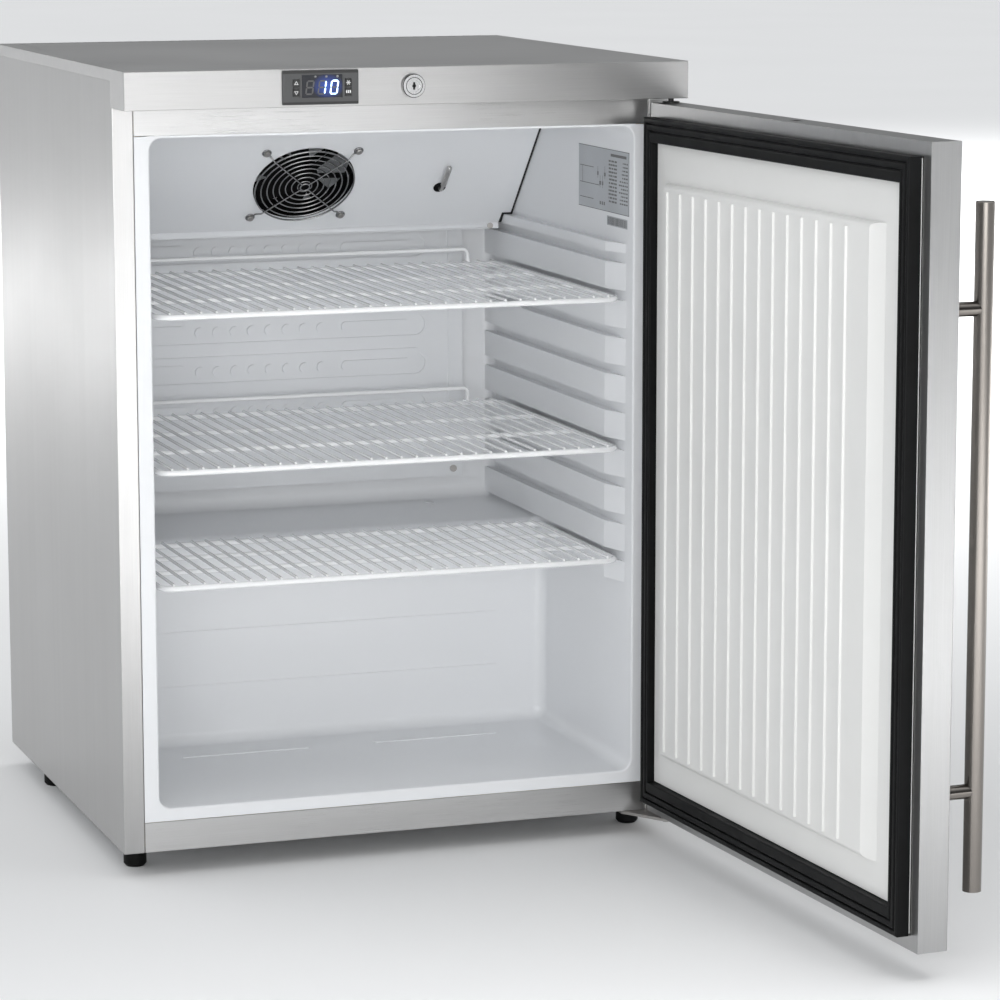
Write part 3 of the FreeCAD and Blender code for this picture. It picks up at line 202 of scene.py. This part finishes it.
def soft_rubber(name, level=0.004):
    """Black sealing rubber: satin, finely grained, a little dusty."""
    finish = Finish(name, IOR=1.5, Specular_IOR_Level=0.1)
    grain = finish.noise((1500, 1500, 1500), 2.0)
    dust = finish.noise((26, 26, 26), 5.0, 0.65)
    tone = finish.ranged(dust, 0, 1)
    finish.set(Base_Color=finish.mixed(tone, grey(level), grey(level * 1.9, -0.05)),
               Roughness=finish.ranged(dust, 0.38, 0.55))
    finish.bump(grain, 0.00003, 0.4)
    return finish.material


def rigid_foam(name):
    """Blown polyurethane foam: cream, with open bubbles."""
    finish = Finish(name, Roughness=0.9)
    bubbles = finish.cells((700, 700, 700)).outputs["Distance"]
    tone = finish.ranged(bubbles, 0, 1)
    finish.set(Base_Color=finish.mixed(tone, (0.75, 0.6, 0.34, 1), (0.86, 0.76, 0.52, 1)))
    finish.bump(bubbles, 0.0006, 0.8)
    return finish.material


def copper_tube(name):
    """Drawn copper that has begun to darken."""
    finish = Finish(name, Metallic=1.0)
    stain = finish.noise((45, 45, 45), 6.0, 0.65)
    tone = finish.ranged(stain, 0, 1)
    finish.set(Base_Color=finish.mixed(tone, (0.36, 0.15, 0.08, 1), (0.83, 0.42, 0.26, 1)),
               Roughness=finish.ranged(stain, 0.42, 0.22))
    finish.bump(stain, 0.00004, 0.3)
    return finish.material


def label_foil(name):
    """Silver-grey printed label stock."""
    finish = Finish(name, Metallic=0.25, IOR=1.45)
    fibre = finish.noise((400, 400, 400), 3.0)
    tint = finish.noise((14, 14, 14), 2.0)
    tone = finish.ranged(tint, 0, 1)
    finish.set(Base_Color=finish.mixed(tone, grey(0.47, -0.04), grey(0.55, -0.04)),
               Roughness=finish.ranged(fibre, 0.3, 0.42))
    finish.bump(fibre, 0.00001, 0.3)
    return finish.material


def ink_and_painted_shade(name, level):
    """Screen-printed ink, slightly uneven; its near-black copy is painted shade for grooves, slots
    and gaps.
    """
    finish = Finish(name)
    wear = finish.noise((900, 900, 900), 3.0)
    finish.set(Base_Color=finish.mixed(finish.ranged(wear, 0, 1), grey(level), grey(level * 1.35)),
               Roughness=finish.ranged(wear, 0.45, 0.6))
    return finish.material


def lit_segments(name):
    """Glowing blue-white display segments, brighter in patches."""
    finish = Finish(name, Base_Color=(0.3, 0.5, 1.0, 1), Roughness=0.4)
    glow = finish.noise((300, 300, 300), 2.0)
    tone = finish.ranged(glow, 0, 1)
    finish.set(Emission_Color=finish.mixed(tone, (0.42, 0.68, 1, 1), (0.8, 0.92, 1, 1)),
               Emission_Strength=finish.ranged(glow, 2.4, 3.4))
    return finish.material


def halo(name, centre, reach):
    """The light that the lit digits throw on the dark window, fading away from them."""
    finish = Finish(name, Base_Color=(0.012, 0.014, 0.02, 1), Roughness=0.25)
    where = finish.node("Mapping", Vector=finish.node("TexCoord").outputs["Object"])
    where.vector_type = "TEXTURE"
    where.inputs["Location"].default_value = centre
    where.inputs["Scale"].default_value = reach
    ball = finish.node("TexGradient", Vector=where.outputs["Vector"])
    ball.gradient_type = "SPHERICAL"
    finish.set(Emission_Color=(0.05, 0.16, 0.95, 1),
               Emission_Strength=finish.ranged(ball.outputs["Fac"], 0, 0.5, 0, 1))
    return finish.material


LINER = moulded_plastic("liner_plastic", (0.845, 0.857, 0.875, 1), (0.83, 0.842, 0.86, 1), 0.3)
DOOR_LINER = moulded_plastic("door_liner_plastic", (0.755, 0.755, 0.74, 1),
                             (0.735, 0.735, 0.722, 1), 0.32)
# Painted shade: the door's foam edge is near black, standing in for the shadow along the gasket's
# outer side.
DOOR_EDGE_SHADE = moulded_plastic("door_edge_painted_shade", grey(0.055, 0.08), grey(0.04, 0.08), 0.6, 900, 0.00002)
WHITE_COAT = painted_metal("white_powder_coat", (0.80, 0.815, 0.835, 1), (0.78, 0.795, 0.815, 1), 0.4)
WIRE_COAT = moulded_plastic("white_wire_coat", (0.95, 0.957, 0.965, 1), (0.925, 0.932, 0.94, 1),
                            0.2, 700, coat=0.8)
# The five stainless finishes are copies of one steel, each shaded by how bright the part's
# reflections come out: painted light on the rails, painted shade on the door and still darker painted
# shade on the handle.
STEEL_TOP = brushed_steel("stainless_worktop", "X", 0.52, 0.32, 0.006)
STEEL_SIDE = brushed_steel("stainless_side", "Z", 0.48, 0.32, 0.006)
STEEL_RAIL_LIT = brushed_steel("stainless_rail_painted_light", "X", 0.57, 0.3, 0.004)
STEEL_DOOR_SHADED = brushed_steel("stainless_door_painted_shade", "Z", 0.42, 0.32, 0.0)
STEEL_HANDLE_SHADED = brushed_steel("stainless_handle_painted_shade", "Z", 0.2, 0.19, 0.08)
CHROME = polished_metal("chrome_plate", 0.72, 0.14)
GUARD_WIRE = polished_metal("guard_chrome", 0.36, 0.14)
ZINC = polished_metal("zinc_plate", 0.45, 0.3, 0.04)
BLACK_STEEL = polished_metal("black_oxide", 0.05, 0.35)
GALVANISED = galvanised_sheet("galvanised_sheet")
RUBBER = soft_rubber("seal_rubber")
FOAM = rigid_foam("rigid_foam")
COPPER = copper_tube("copper_tube")
BLACK_FAN = moulded_plastic("fan_plastic", grey(0.006), grey(0.004), 0.6, 900, shine=0.06)
BLACK_PLASTIC = moulded_plastic("black_plastic", grey(0.02), grey(0.014), 0.42, 900)
BLACK_PAINT = painted_metal("black_enamel", grey(0.02), grey(0.013), 0.3)
BEZEL = moulded_plastic("bezel_plastic", grey(0.075, -0.02), grey(0.062, -0.02), 0.45, 1200)
KEY = moulded_plastic("key_plastic", grey(0.018), grey(0.012), 0.4, 1200)
FOIL = label_foil("label_foil")
PROBE = polished_metal("probe_sleeve", 0.55, 0.25, 0.02)
INK = ink_and_painted_shade("label_ink", 0.13)
PALE_INK = ink_and_painted_shade("key_ink", 0.66)
GHOST = ink_and_painted_shade("unlit_segments", 0.085)
INDICATOR = ink_and_painted_shade("indicator_ink", 0.3)
# Painted shade: near-black marks laid where only shadow falls, in grooves, slots and gaps.
PAINTED_SHADE = ink_and_painted_shade("painted_recess_shade", 0.004)
LIT = lit_segments("lit_segments")

NODE_FINISH = {
    "worktop": STEEL_TOP, "side_panel_left": STEEL_SIDE, "side_panel_right": STEEL_SIDE,
    "top_front_rail": STEEL_RAIL_LIT, "kick_rail": STEEL_RAIL_LIT, "door_skin": STEEL_DOOR_SHADED,
    "base_plate": GALVANISED, "back_panel": GALVANISED, "liner": LINER, "insulation": FOAM,
    "evaporator_cover": WHITE_COAT, "evaporator_plate": WHITE_COAT, "fan_housing": BLACK_FAN,
    "fan_rotor": BLACK_FAN, "fan_guard": GUARD_WIRE, "guard_screws": ZINC, "panel_screws": ZINC,
    "temperature_probe": PROBE, "probe_grommet": RUBBER, "rating_label": FOIL,
    "controller_bezel": BEZEL, "controller_body": BLACK_PLASTIC,
    "lock_housing": CHROME, "lock_plug": CHROME, "lock_nut": ZINC, "lock_cam": ZINC,
    "upper_hinge_bracket": BLACK_STEEL, "lower_hinge_bracket": ZINC, "hinge_pins": BLACK_STEEL,
    "hinge_screws": ZINC, "hinge_bushes": BLACK_PLASTIC,
    "compressor": BLACK_PAINT, "compressor_grommets": RUBBER,
    "terminal_box": BLACK_PLASTIC, "condenser": BLACK_PAINT, "filter_drier": COPPER,
    "refrigerant_lines": COPPER, "drip_tray": BLACK_PLASTIC, "drain_tube": WIRE_COAT,
    "power_inlet": BLACK_PLASTIC, "levelling_inserts": ZINC, "door_foam": DOOR_EDGE_SHADE,
    "door_liner": DOOR_LINER, "door_gasket": RUBBER,
    "handle_bar": STEEL_HANDLE_SHADED, "handle_standoffs": STEEL_HANDLE_SHADED, "handle_screws": ZINC,
    "key_up": KEY, "key_down": KEY, "key_light": KEY, "key_set": KEY,
    "shelf_upper": WIRE_COAT, "shelf_middle": WIRE_COAT, "shelf_lower": WIRE_COAT,
    "foot_front_left": RUBBER, "foot_front_right": RUBBER, "foot_rear_left": RUBBER,
    "foot_rear_right": RUBBER,
}
for node_name, material in NODE_FINISH.items():  # the display window's comes with its digits
    NODES[node_name].data.materials[0] = material


# ---- folded edges ---------------------------------------------------------------------

def soften(node_name, radius):
    """Rounds the sharp edges of a CAD node's rendered shape, as a folded sheet's are."""
    shape = NODES[node_name]
    weld = shape.modifiers.new("weld", "WELD")
    weld.merge_threshold = 0.00001
    bevel = shape.modifiers.new("bevel", "BEVEL")
    bevel.width = radius
    bevel.segments = 2
    bevel.limit_method = "ANGLE"
    bevel.angle_limit = math.radians(50)
    bevel.harden_normals = True
    shape.modifiers.new("weighted", "WEIGHTED_NORMAL").keep_sharp = True


FOLDED_EDGES = {  # outside radius in metres
    "worktop": 0.9 * MM, "side_panel_left": 0.9 * MM, "side_panel_right": 0.9 * MM,
    "top_front_rail": 0.5 * MM, "kick_rail": 0.5 * MM,
    "controller_bezel": 0.5 * MM, "evaporator_cover": 0.7 * MM,
}
for folded, radius in FOLDED_EDGES.items():
    soften(folded, radius)


# ---- small pieces ---------------------------------------------------------------------

def add_piece(name, build, material, body):
    """A new mesh in the frame's axes that rides on a body."""
    mesh = bmesh.new()
    build(mesh)
    bmesh.ops.recalc_face_normals(mesh, faces=mesh.faces)
    data = bpy.data.meshes.new(name)
    mesh.to_mesh(data)
    mesh.free()
    data.materials.append(material)
    made = bpy.data.objects.new(name, data)
    bpy.context.scene.collection.objects.link(made)
    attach(made, body)
    return made


def neighbours(count):
    """The pairs of numbers that follow each other round a closed loop."""
    return [(number, (number + 1) % count) for number in range(count)]


def slab(mesh, outline, inwards):
    """A thin plate: a flat outline of points, drawn out by a vector."""
    front = [mesh.verts.new(p) for p in outline]
    back = [mesh.verts.new(Vector(p) + Vector(inwards)) for p in outline]
    mesh.faces.new(front)
    mesh.faces.new(list(reversed(back)))
    for a, b in neighbours(len(front)):
        mesh.faces.new([front[b], front[a], back[a], back[b]])


def wire(mesh, start, end, radius, sides):
    """A straight round wire between two points."""
    line = Vector(end) - Vector(start)
    u = line.orthogonal().normalized() * radius
    v = line.normalized().cross(u)
    rings = []
    for point in (Vector(start), Vector(end)):
        angles = [2 * math.pi * n / sides for n in range(sides)]
        rings.append([mesh.verts.new(point + u * math.cos(a) + v * math.sin(a)) for a in angles])
    low, high = rings
    for a, b in neighbours(sides):
        mesh.faces.new([low[a], low[b], high[b], high[a]])
    mesh.faces.new(list(reversed(low)))
    mesh.faces.new(high)


WINDOW_LOW, WINDOW_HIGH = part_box("display_window")
PRINT = 0.05 * MM  # how proud print and display marks stand
INWARDS = (0, PRINT * 0.8, 0)  # the thickness of a mark on a front face
DIGIT_HEIGHT = 13 * MM
DIGIT_WIDTH = 6.8 * MM
DIGIT_PITCH = 12.7 * MM
DIGIT_STROKE = 1.5 * MM
DIGIT_LEFT = 3.9 * MM  # from the window's left edge to the first digit
DIGIT_FOOT = 3.6 * MM  # from the window's lower edge to the digits
SEGMENT_GAP = 0.25 * MM
SLANT = math.tan(math.radians(8))
SEGMENTS = {  # ends of each segment, in digit widths and half heights
    "a": ((0, 2), (1, 2)), "b": ((1, 2), (1, 1)), "c": ((1, 1), (1, 0)), "d": ((0, 0), (1, 0)),
    "e": ((0, 1), (0, 0)), "f": ((0, 2), (0, 1)), "g": ((0, 1), (1, 1)),
}


def digit(mesh, number, lit):
    """The named segments of one display digit, slanted to the right."""
    left = WINDOW_LOW.x + DIGIT_LEFT + DIGIT_PITCH * number
    base = Vector((left, WINDOW_LOW.y, WINDOW_LOW.z + DIGIT_FOOT))
    for name in lit:
        (u0, v0), (u1, v1) = SEGMENTS[name]
        start = Vector((u0 * DIGIT_WIDTH, 0, v0 * DIGIT_HEIGHT / 2))
        end = Vector((u1 * DIGIT_WIDTH, 0, v1 * DIGIT_HEIGHT / 2))
        way = (end - start).normalized()
        side = Vector((-way.z, 0, way.x)) * DIGIT_STROKE / 2
        tip = way * DIGIT_STROKE / 2
        start, end = start + way * SEGMENT_GAP, end - way * SEGMENT_GAP
        outline = [start, start + tip + side, end - tip + side,
                   end, end - tip - side, start + tip - side]
        placed = [base + p + Vector((p.z * SLANT, -PRINT, 0)) for p in outline]
        slab(mesh, placed, INWARDS)


def unlit_marks(mesh):
    """Dark segments that don't glow."""
    digit(mesh, 0, "abcdefg")
    digit(mesh, 1, "adefg")
    digit(mesh, 2, "g")


def indicators(mesh):
    """The three small indicators over the digits."""
    first, pitch, drop, reach = 14 * MM, 11.5 * MM, 1.9 * MM, 1.3 * MM
    for number in range(3):
        centre = Vector((WINDOW_LOW.x + first + pitch * number, WINDOW_LOW.y - PRINT,
                         WINDOW_HIGH.z - drop))
        star(mesh, centre, reach, 3 + number)


def star(mesh, centre, reach, arms):
    """A small mark of crossed strokes."""
    half_stroke = reach * 0.15
    for number in range(arms):
        angle = math.pi * number / arms
        way = Vector((math.cos(angle), 0, math.sin(angle))) * reach
        side = Vector((-math.sin(angle), 0, math.cos(angle))) * half_stroke
        slab(mesh, [centre - way - side, centre + way - side,
                    centre + way + side, centre - way + side], INWARDS)


def lit_marks(mesh):
    """The two glowing digits."""
    digit(mesh, 1, "bc")
    digit(mesh, 2, "abcdef")


add_piece("display_unlit_marks", unlit_marks, GHOST, "cabinet")
add_piece("display_indicators", indicators, INDICATOR, "cabinet")
add_piece("display_lit_digits", lit_marks, LIT, "cabinet")
glow_centre = (WINDOW_LOW.x + 27 * MM, WINDOW_LOW.y, WINDOW_LOW.z + 11 * MM)
glow_reach = (17 * MM, 17 * MM, 13 * MM)
NODES["display_window"].data.materials[0] = halo("display_halo", glow_centre, glow_reach)


def front_centre(low, high):
    """The middle of a box's front face, a print's thickness proud of it."""
    return Vector(((low.x + high.x) / 2, low.y - PRINT, (low.z + high.z) / 2))


def key_front(node_name):
    """The middle of a key's face."""
    low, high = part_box(node_name)
    return front_centre(low, high)


def triangle_ring(mesh, centre, reach, up):
    """An outlined triangle that points up or down."""
    inner = 0.6  # the size of the open middle
    turn = math.pi / 2 if up else -math.pi / 2
    angles = [turn + 2 * math.pi * n / 3 for n in range(3)]
    corners = [Vector((math.cos(angle), 0, math.sin(angle))) * reach for angle in angles]
    for a, b in zip(corners, corners[1:] + corners[:1]):
        slab(mesh, [centre + a, centre + b, centre + b * inner, centre + a * inner], INWARDS)


def bars(mesh, centre):
    """Three short upright bars, the menu key's mark."""
    pitch, half_width, half_height = 1.9 * MM, 0.6 * MM, 1.4 * MM
    half, tall = Vector((half_width, 0, 0)), Vector((0, 0, half_height))
    for number in (-1, 0, 1):
        middle = centre + Vector((number * pitch, 0, 0))
        slab(mesh, [middle - half - tall, middle + half - tall,
                    middle + half + tall, middle - half + tall], INWARDS)


ARROW_REACH = 2.5 * MM
LIGHT_REACH = 2.4 * MM
KEY_MARKS = {
    "up": lambda mesh: triangle_ring(mesh, key_front("key_up"), ARROW_REACH, True),
    "down": lambda mesh: triangle_ring(mesh, key_front("key_down"), ARROW_REACH, False),
    "light": lambda mesh: star(mesh, key_front("key_light"), LIGHT_REACH, 3),
    "set": lambda mesh: bars(mesh, key_front("key_set")),
}
for key, build in KEY_MARKS.items():
    add_piece(f"key_{key}_mark", build, PALE_INK, f"{key}_key")


def label_print(mesh):
    """Generic print on the data plate: ruled edges, rows of strokes, a wiring outline and bars."""
    rng = random.Random(5)
    low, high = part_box("rating_label")
    face = low.x - PRINT
    plate_low = high.z - 67 * MM
    depth = high.y - low.y
    rule = 0.7 * MM
    row_count, row_pitch = 12, 3.9 * MM

    def mark(y0, y1, z0, z1):
        slab(mesh, [(face, y0, z0), (face, y0, z1), (face, y1, z1), (face, y1, z0)],
             (PRINT * 0.8, 0, 0))

    def strokes(y, end, z, tall, shortest, longest):
        """A row of short strokes of uneven length, as small print looks from afar."""
        while y < end:
            run = rng.uniform(shortest, longest) * MM
            mark(y, min(y + run, end), z, z + tall)
            y += run + rng.uniform(0.8, 2) * MM

    # the frame and the heading
    for z in (plate_low, high.z - rule):
        mark(low.y, high.y, z, z + rule)
    mark(low.y + rule, low.y + 2 * rule, plate_low + rule, high.z - rule)
    mark(low.y + 8 * MM, low.y + depth * 0.36, high.z - 7.5 * MM, high.z - 4.5 * MM)
    # rows of small print in two columns
    for row in range(row_count):
        z = high.z - 13.5 * MM - row * row_pitch
        strokes(low.y + depth * 0.24, low.y + depth * 0.4, z, 2 * MM, 3, 9)
        strokes(low.y + 4 * MM, low.y + depth * rng.uniform(0.12, 0.2), z, 1.6 * MM, 2, 6)
    # the wiring outline: level lines, a riser and four branches
    left, line = low.y + depth * 0.46, 0.8 * MM
    for rise, share in ((10 * MM, 0.3), (26 * MM, 0.42), (44 * MM, 0.3)):
        z = plate_low + rise
        mark(high.y - depth * share, high.y - 4 * MM, z, z + line)
    mark(high.y - 12 * MM, high.y - 12 * MM + line, plate_low + 26 * MM, plate_low + 44 * MM)
    for number in range(4):
        y = left + (2 + 7 * number) * MM
        foot = plate_low + rng.choice((24, 30, 34)) * MM
        mark(y, y + line, foot, foot + rng.uniform(12, 18) * MM)
        strokes(y - 2 * MM, y + 3 * MM, foot + 3 * MM, 4 * MM, 1, 2)
    # three square marks
    square = 3.6 * MM
    for number in range(3):
        y, z = left + (2 + 6 * number) * MM, plate_low + 6 * MM
        mark(y, y + square, z, z + square)
    # the strip of bars under the frame
    y = low.y + 6 * MM
    while y < low.y + 63 * MM:
        run = rng.choice((0.5, 0.8, 1.3)) * MM
        mark(y, y + run, low.z + 1 * MM, low.z + 9 * MM)
        y += run + rng.choice((0.5, 0.9)) * MM


add_piece("rating_label_print", label_print, INK, "cabinet")


def disc_ring(mesh, centre, inner, outer, sides=48):
    """A flat ring that faces the front."""
    spokes = [Vector((math.cos(2 * math.pi * n / sides), 0, math.sin(2 * math.pi * n / sides)))
              for n in range(sides)]
    loops = [[mesh.verts.new(centre + spoke * reach) for spoke in spokes] for reach in (inner, outer)]
    for a, b in neighbours(sides):
        mesh.faces.new([loops[0][a], loops[0][b], loops[1][b], loops[1][a]])


def bezel_strips(mesh):
    """The dark glossy strips along the controller's upper and lower edges."""
    low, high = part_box("controller_bezel")
    inset, edge, upper, lower = 0.6 * MM, 0.3 * MM, 2.9 * MM, 2.6 * MM
    left, right, face = low.x + inset, high.x - inset, low.y - PRINT
    for base, tall in ((high.z - edge - upper, upper), (low.z + edge, lower)):
        top = base + tall
        slab(mesh, [(left, face, base), (right, face, base), (right, face, top), (left, face, top)],
             INWARDS)


add_piece("bezel_strips", bezel_strips, BLACK_PLASTIC, "cabinet")
LOCK_LOW, LOCK_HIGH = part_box("lock_housing")
PLUG_LOW, PLUG_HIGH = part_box("lock_plug")


def lock_groove_shade(mesh):
    """Painted shade: the dark lines round the lock's washer and round its face."""
    centre = front_centre(LOCK_LOW, LOCK_HIGH)
    reach = (LOCK_HIGH.x - LOCK_LOW.x) / 2
    disc_ring(mesh, centre, reach * 0.72, reach * 0.78)
    plate = centre + Vector((0, 1.2 * MM, 0))
    disc_ring(mesh, plate, reach * 0.98, reach * 1.06)


def lock_keyway_shade(mesh):
    """Painted shade in the keyway: a dark slot with a wider middle."""
    half_width, half_height, boss = 0.9 * MM, 3.6 * MM, 2 * MM
    centre = front_centre(PLUG_LOW, PLUG_HIGH)
    disc_ring(mesh, centre, boss * 0.2, boss, 24)
    corners = ((-1, -1), (1, -1), (1, 1), (-1, 1))
    slab(mesh, [centre + Vector((u * half_width, 0, v * half_height)) for u, v in corners],
         INWARDS)


add_piece("lock_groove_shade", lock_groove_shade, PAINTED_SHADE, "cabinet")
add_piece("lock_keyway_shade", lock_keyway_shade, PAINTED_SHADE, "lock")


def cover_gap_shade(mesh):
    """Painted shade in the gaps: dark strips down both edges of the evaporator cover, and behind its
    lower notches.
    """
    low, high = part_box("evaporator_cover")
    lip, sheet, gap, thickness = 7 * MM, 1 * MM, 0.4 * MM, 2 * MM
    bottom_y, bottom_z = high.y - sheet, low.z + lip
    lean = (bottom_y - low.y) / (high.z - bottom_z)

    def strip(x0, x1, z0, z1):
        face = [(x, bottom_y - (z - bottom_z) * lean + gap, z)
                for x, z in ((x0, z0), (x1, z0), (x1, z1), (x0, z1))]
        slab(mesh, face, (0, thickness, thickness))

    notch, wall = high.x - 11.5 * MM, high.x + 2.4 * MM
    notch_top, strip_top = bottom_z + 12 * MM, high.z - 13 * MM
    for side in (-1, 1):
        strip(side * high.x, side * wall, bottom_z, strip_top)
        strip(side * notch, side * wall, bottom_z, notch_top)


add_piece("cover_gap_shade", cover_gap_shade, PAINTED_SHADE, "cabinet")


def condenser_wires(mesh):
    """Fine upright wires welded across both sides of the serpentine tube."""
    low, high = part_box("condenser")
    middle = high.y - 3.8 * MM
    count, side_inset, end_inset = 67, 12 * MM, 14 * MM
    offset, radius = 3.3 * MM, 0.75 * MM
    straps, half_strap = (-170 * MM, 0, 170 * MM), 9.5 * MM
    for number in range(count):
        x = low.x + side_inset + (high.x - low.x - 2 * side_inset) * number / (count - 1)
        behind_strap = any(abs(x - at) < half_strap for at in straps)
        for side in (-1, 1):
            if side == 1 and behind_strap:
                continue
            y = middle + side * offset
            wire(mesh, (x, y, low.z + end_inset), (x, y, high.z - end_inset), radius, 6)


add_piece("condenser_wires", condenser_wires, BLACK_PAINT, "cabinet")


# ---- studio ---------------------------------------------------------------------------

CAMERA_LENS = 138.9  # millimetres
CAMERA_REACH = 200
CAMERA_PLACE = (-1.2056, -3.7121, 1.0444)
CAMERA_TURN = (80.44, 0.05, -19.28)  # degrees
FLOOR_RADIUS = 60
WALL_LEVEL = 0.76
CEILING_LEVEL = 1.2
SKY_TINT = (0.97, 0.985, 1, 1)
CURTAINS = (  # middle direction, half angle in degrees, and how much light is left there
    ((0.35, 0.94, 0.3), 52, 0.31),
    ((0.75, -0.66, 0.1), 42, 0.1),
    ((0.0, -0.7, 0.72), 38, 0.35),
)
FLOOR_POOLS = {  # each lamp's place, size and power in watts
    "front_pool": ((0.3, -3.0, 2.4), (3.0, 2.6), 88),
    "left_pool": ((-2.4, 5.2, 2.6), (3.0, 2.6), 60),
    "far_pool": ((3.0, 5.5, 3.4), (5.0, 5.0), 210),
    "right_pool": ((3.9, 0.4, 2.6), (2.4, 2.4), 110),
}


def make_camera():
    """The main view, through a long lens from the front left."""
    data = bpy.data.cameras.new("camera")
    data.lens = CAMERA_LENS
    data.clip_end = CAMERA_REACH
    camera = bpy.data.objects.new("camera", data)
    camera.location = CAMERA_PLACE
    camera.rotation_euler = [math.radians(angle) for angle in CAMERA_TURN]
    bpy.context.scene.collection.objects.link(camera)
    bpy.context.scene.camera = camera


def softbox(name, place, aim, size, power, spread):
    """An area light that shines at a point, over an angle, and isn't seen by the camera."""
    data = bpy.data.lights.new(name, "AREA")
    data.shape = "RECTANGLE"
    data.size, data.size_y = size
    data.energy = power
    data.spread = math.radians(spread)
    lamp = bpy.data.objects.new(name, data)
    lamp.location = place
    lamp.rotation_euler = (Vector(aim) - Vector(place)).to_track_quat("-Z", "Y").to_euler()
    lamp.visible_camera = False
    bpy.context.scene.collection.objects.link(lamp)
    return lamp


def floor_pool(name, place, size, power):
    """A hooded lamp that lights the floor under it and isn't mirrored in the object."""
    lamp = softbox(name, place, (place[0], place[1], 0), size, power, spread=80)
    lamp.visible_glossy = False


def make_floor():
    """A wide pale studio floor."""
    mesh = bmesh.new()
    bmesh.ops.create_circle(mesh, cap_ends=True, segments=96, radius=FLOOR_RADIUS)
    data = bpy.data.meshes.new("floor")
    mesh.to_mesh(data)
    mesh.free()
    finish = Finish("floor_paper", Roughness=0.95, Specular_IOR_Level=0.1)
    tone = finish.noise((0.8, 0.8, 0.8), 2.0)
    finish.set(Base_Color=finish.mixed(finish.ranged(tone, 0, 1), grey(0.90), grey(0.915)))
    data.materials.append(finish.material)
    floor = bpy.data.objects.new("floor", data)
    bpy.context.scene.collection.objects.link(floor)


def make_sky():
    """Soft studio surroundings, brightest overhead, with three dark curtains."""
    world = bpy.data.worlds.new("studio")
    world.use_nodes = True
    bpy.context.scene.world = world
    tree = world.node_tree
    background = tree.nodes["Background"]
    where = tree.nodes.new("ShaderNodeTexCoord").outputs["Generated"]

    def facing(direction, start, end, low, high):
        """A level from low to high as the view turns from one angle off a direction to another."""
        toward = tree.nodes.new("ShaderNodeVectorMath")
        toward.operation = "DOT_PRODUCT"
        toward.inputs[1].default_value = Vector(direction).normalized()
        tree.links.new(where, toward.inputs[0])
        fade = tree.nodes.new("ShaderNodeMapRange")
        fade.interpolation_type = "SMOOTHSTEP"
        fade.inputs["From Min"].default_value = math.cos(math.radians(start))
        fade.inputs["From Max"].default_value = math.cos(math.radians(end))
        fade.inputs["To Min"].default_value = low
        fade.inputs["To Max"].default_value = high
        tree.links.new(toward.outputs["Value"], fade.inputs["Value"])
        return fade.outputs["Result"]

    level = facing((0, 0, 1), 90, 25, WALL_LEVEL, CEILING_LEVEL)
    for direction, half_angle, darkest in CURTAINS:
        product = tree.nodes.new("ShaderNodeMath")
        product.operation = "MULTIPLY"
        tree.links.new(level, product.inputs[0])
        tree.links.new(facing(direction, half_angle, half_angle * 0.4, 1, darkest), product.inputs[1])
        level = product.outputs["Value"]
    tree.links.new(level, background.inputs["Strength"])
    background.inputs["Color"].default_value = SKY_TINT


make_camera()
make_floor()
make_sky()
softbox("front_box", place=(-1.2, -5.4, 0.95), aim=(0, 0, 0.5), size=(3.8, 1.6), power=33, spread=110)
for pool_name, (place, size, power) in FLOOR_POOLS.items():
    floor_pool(pool_name, place, size, power)
bpy.context.scene.view_settings.view_transform = "Standard"
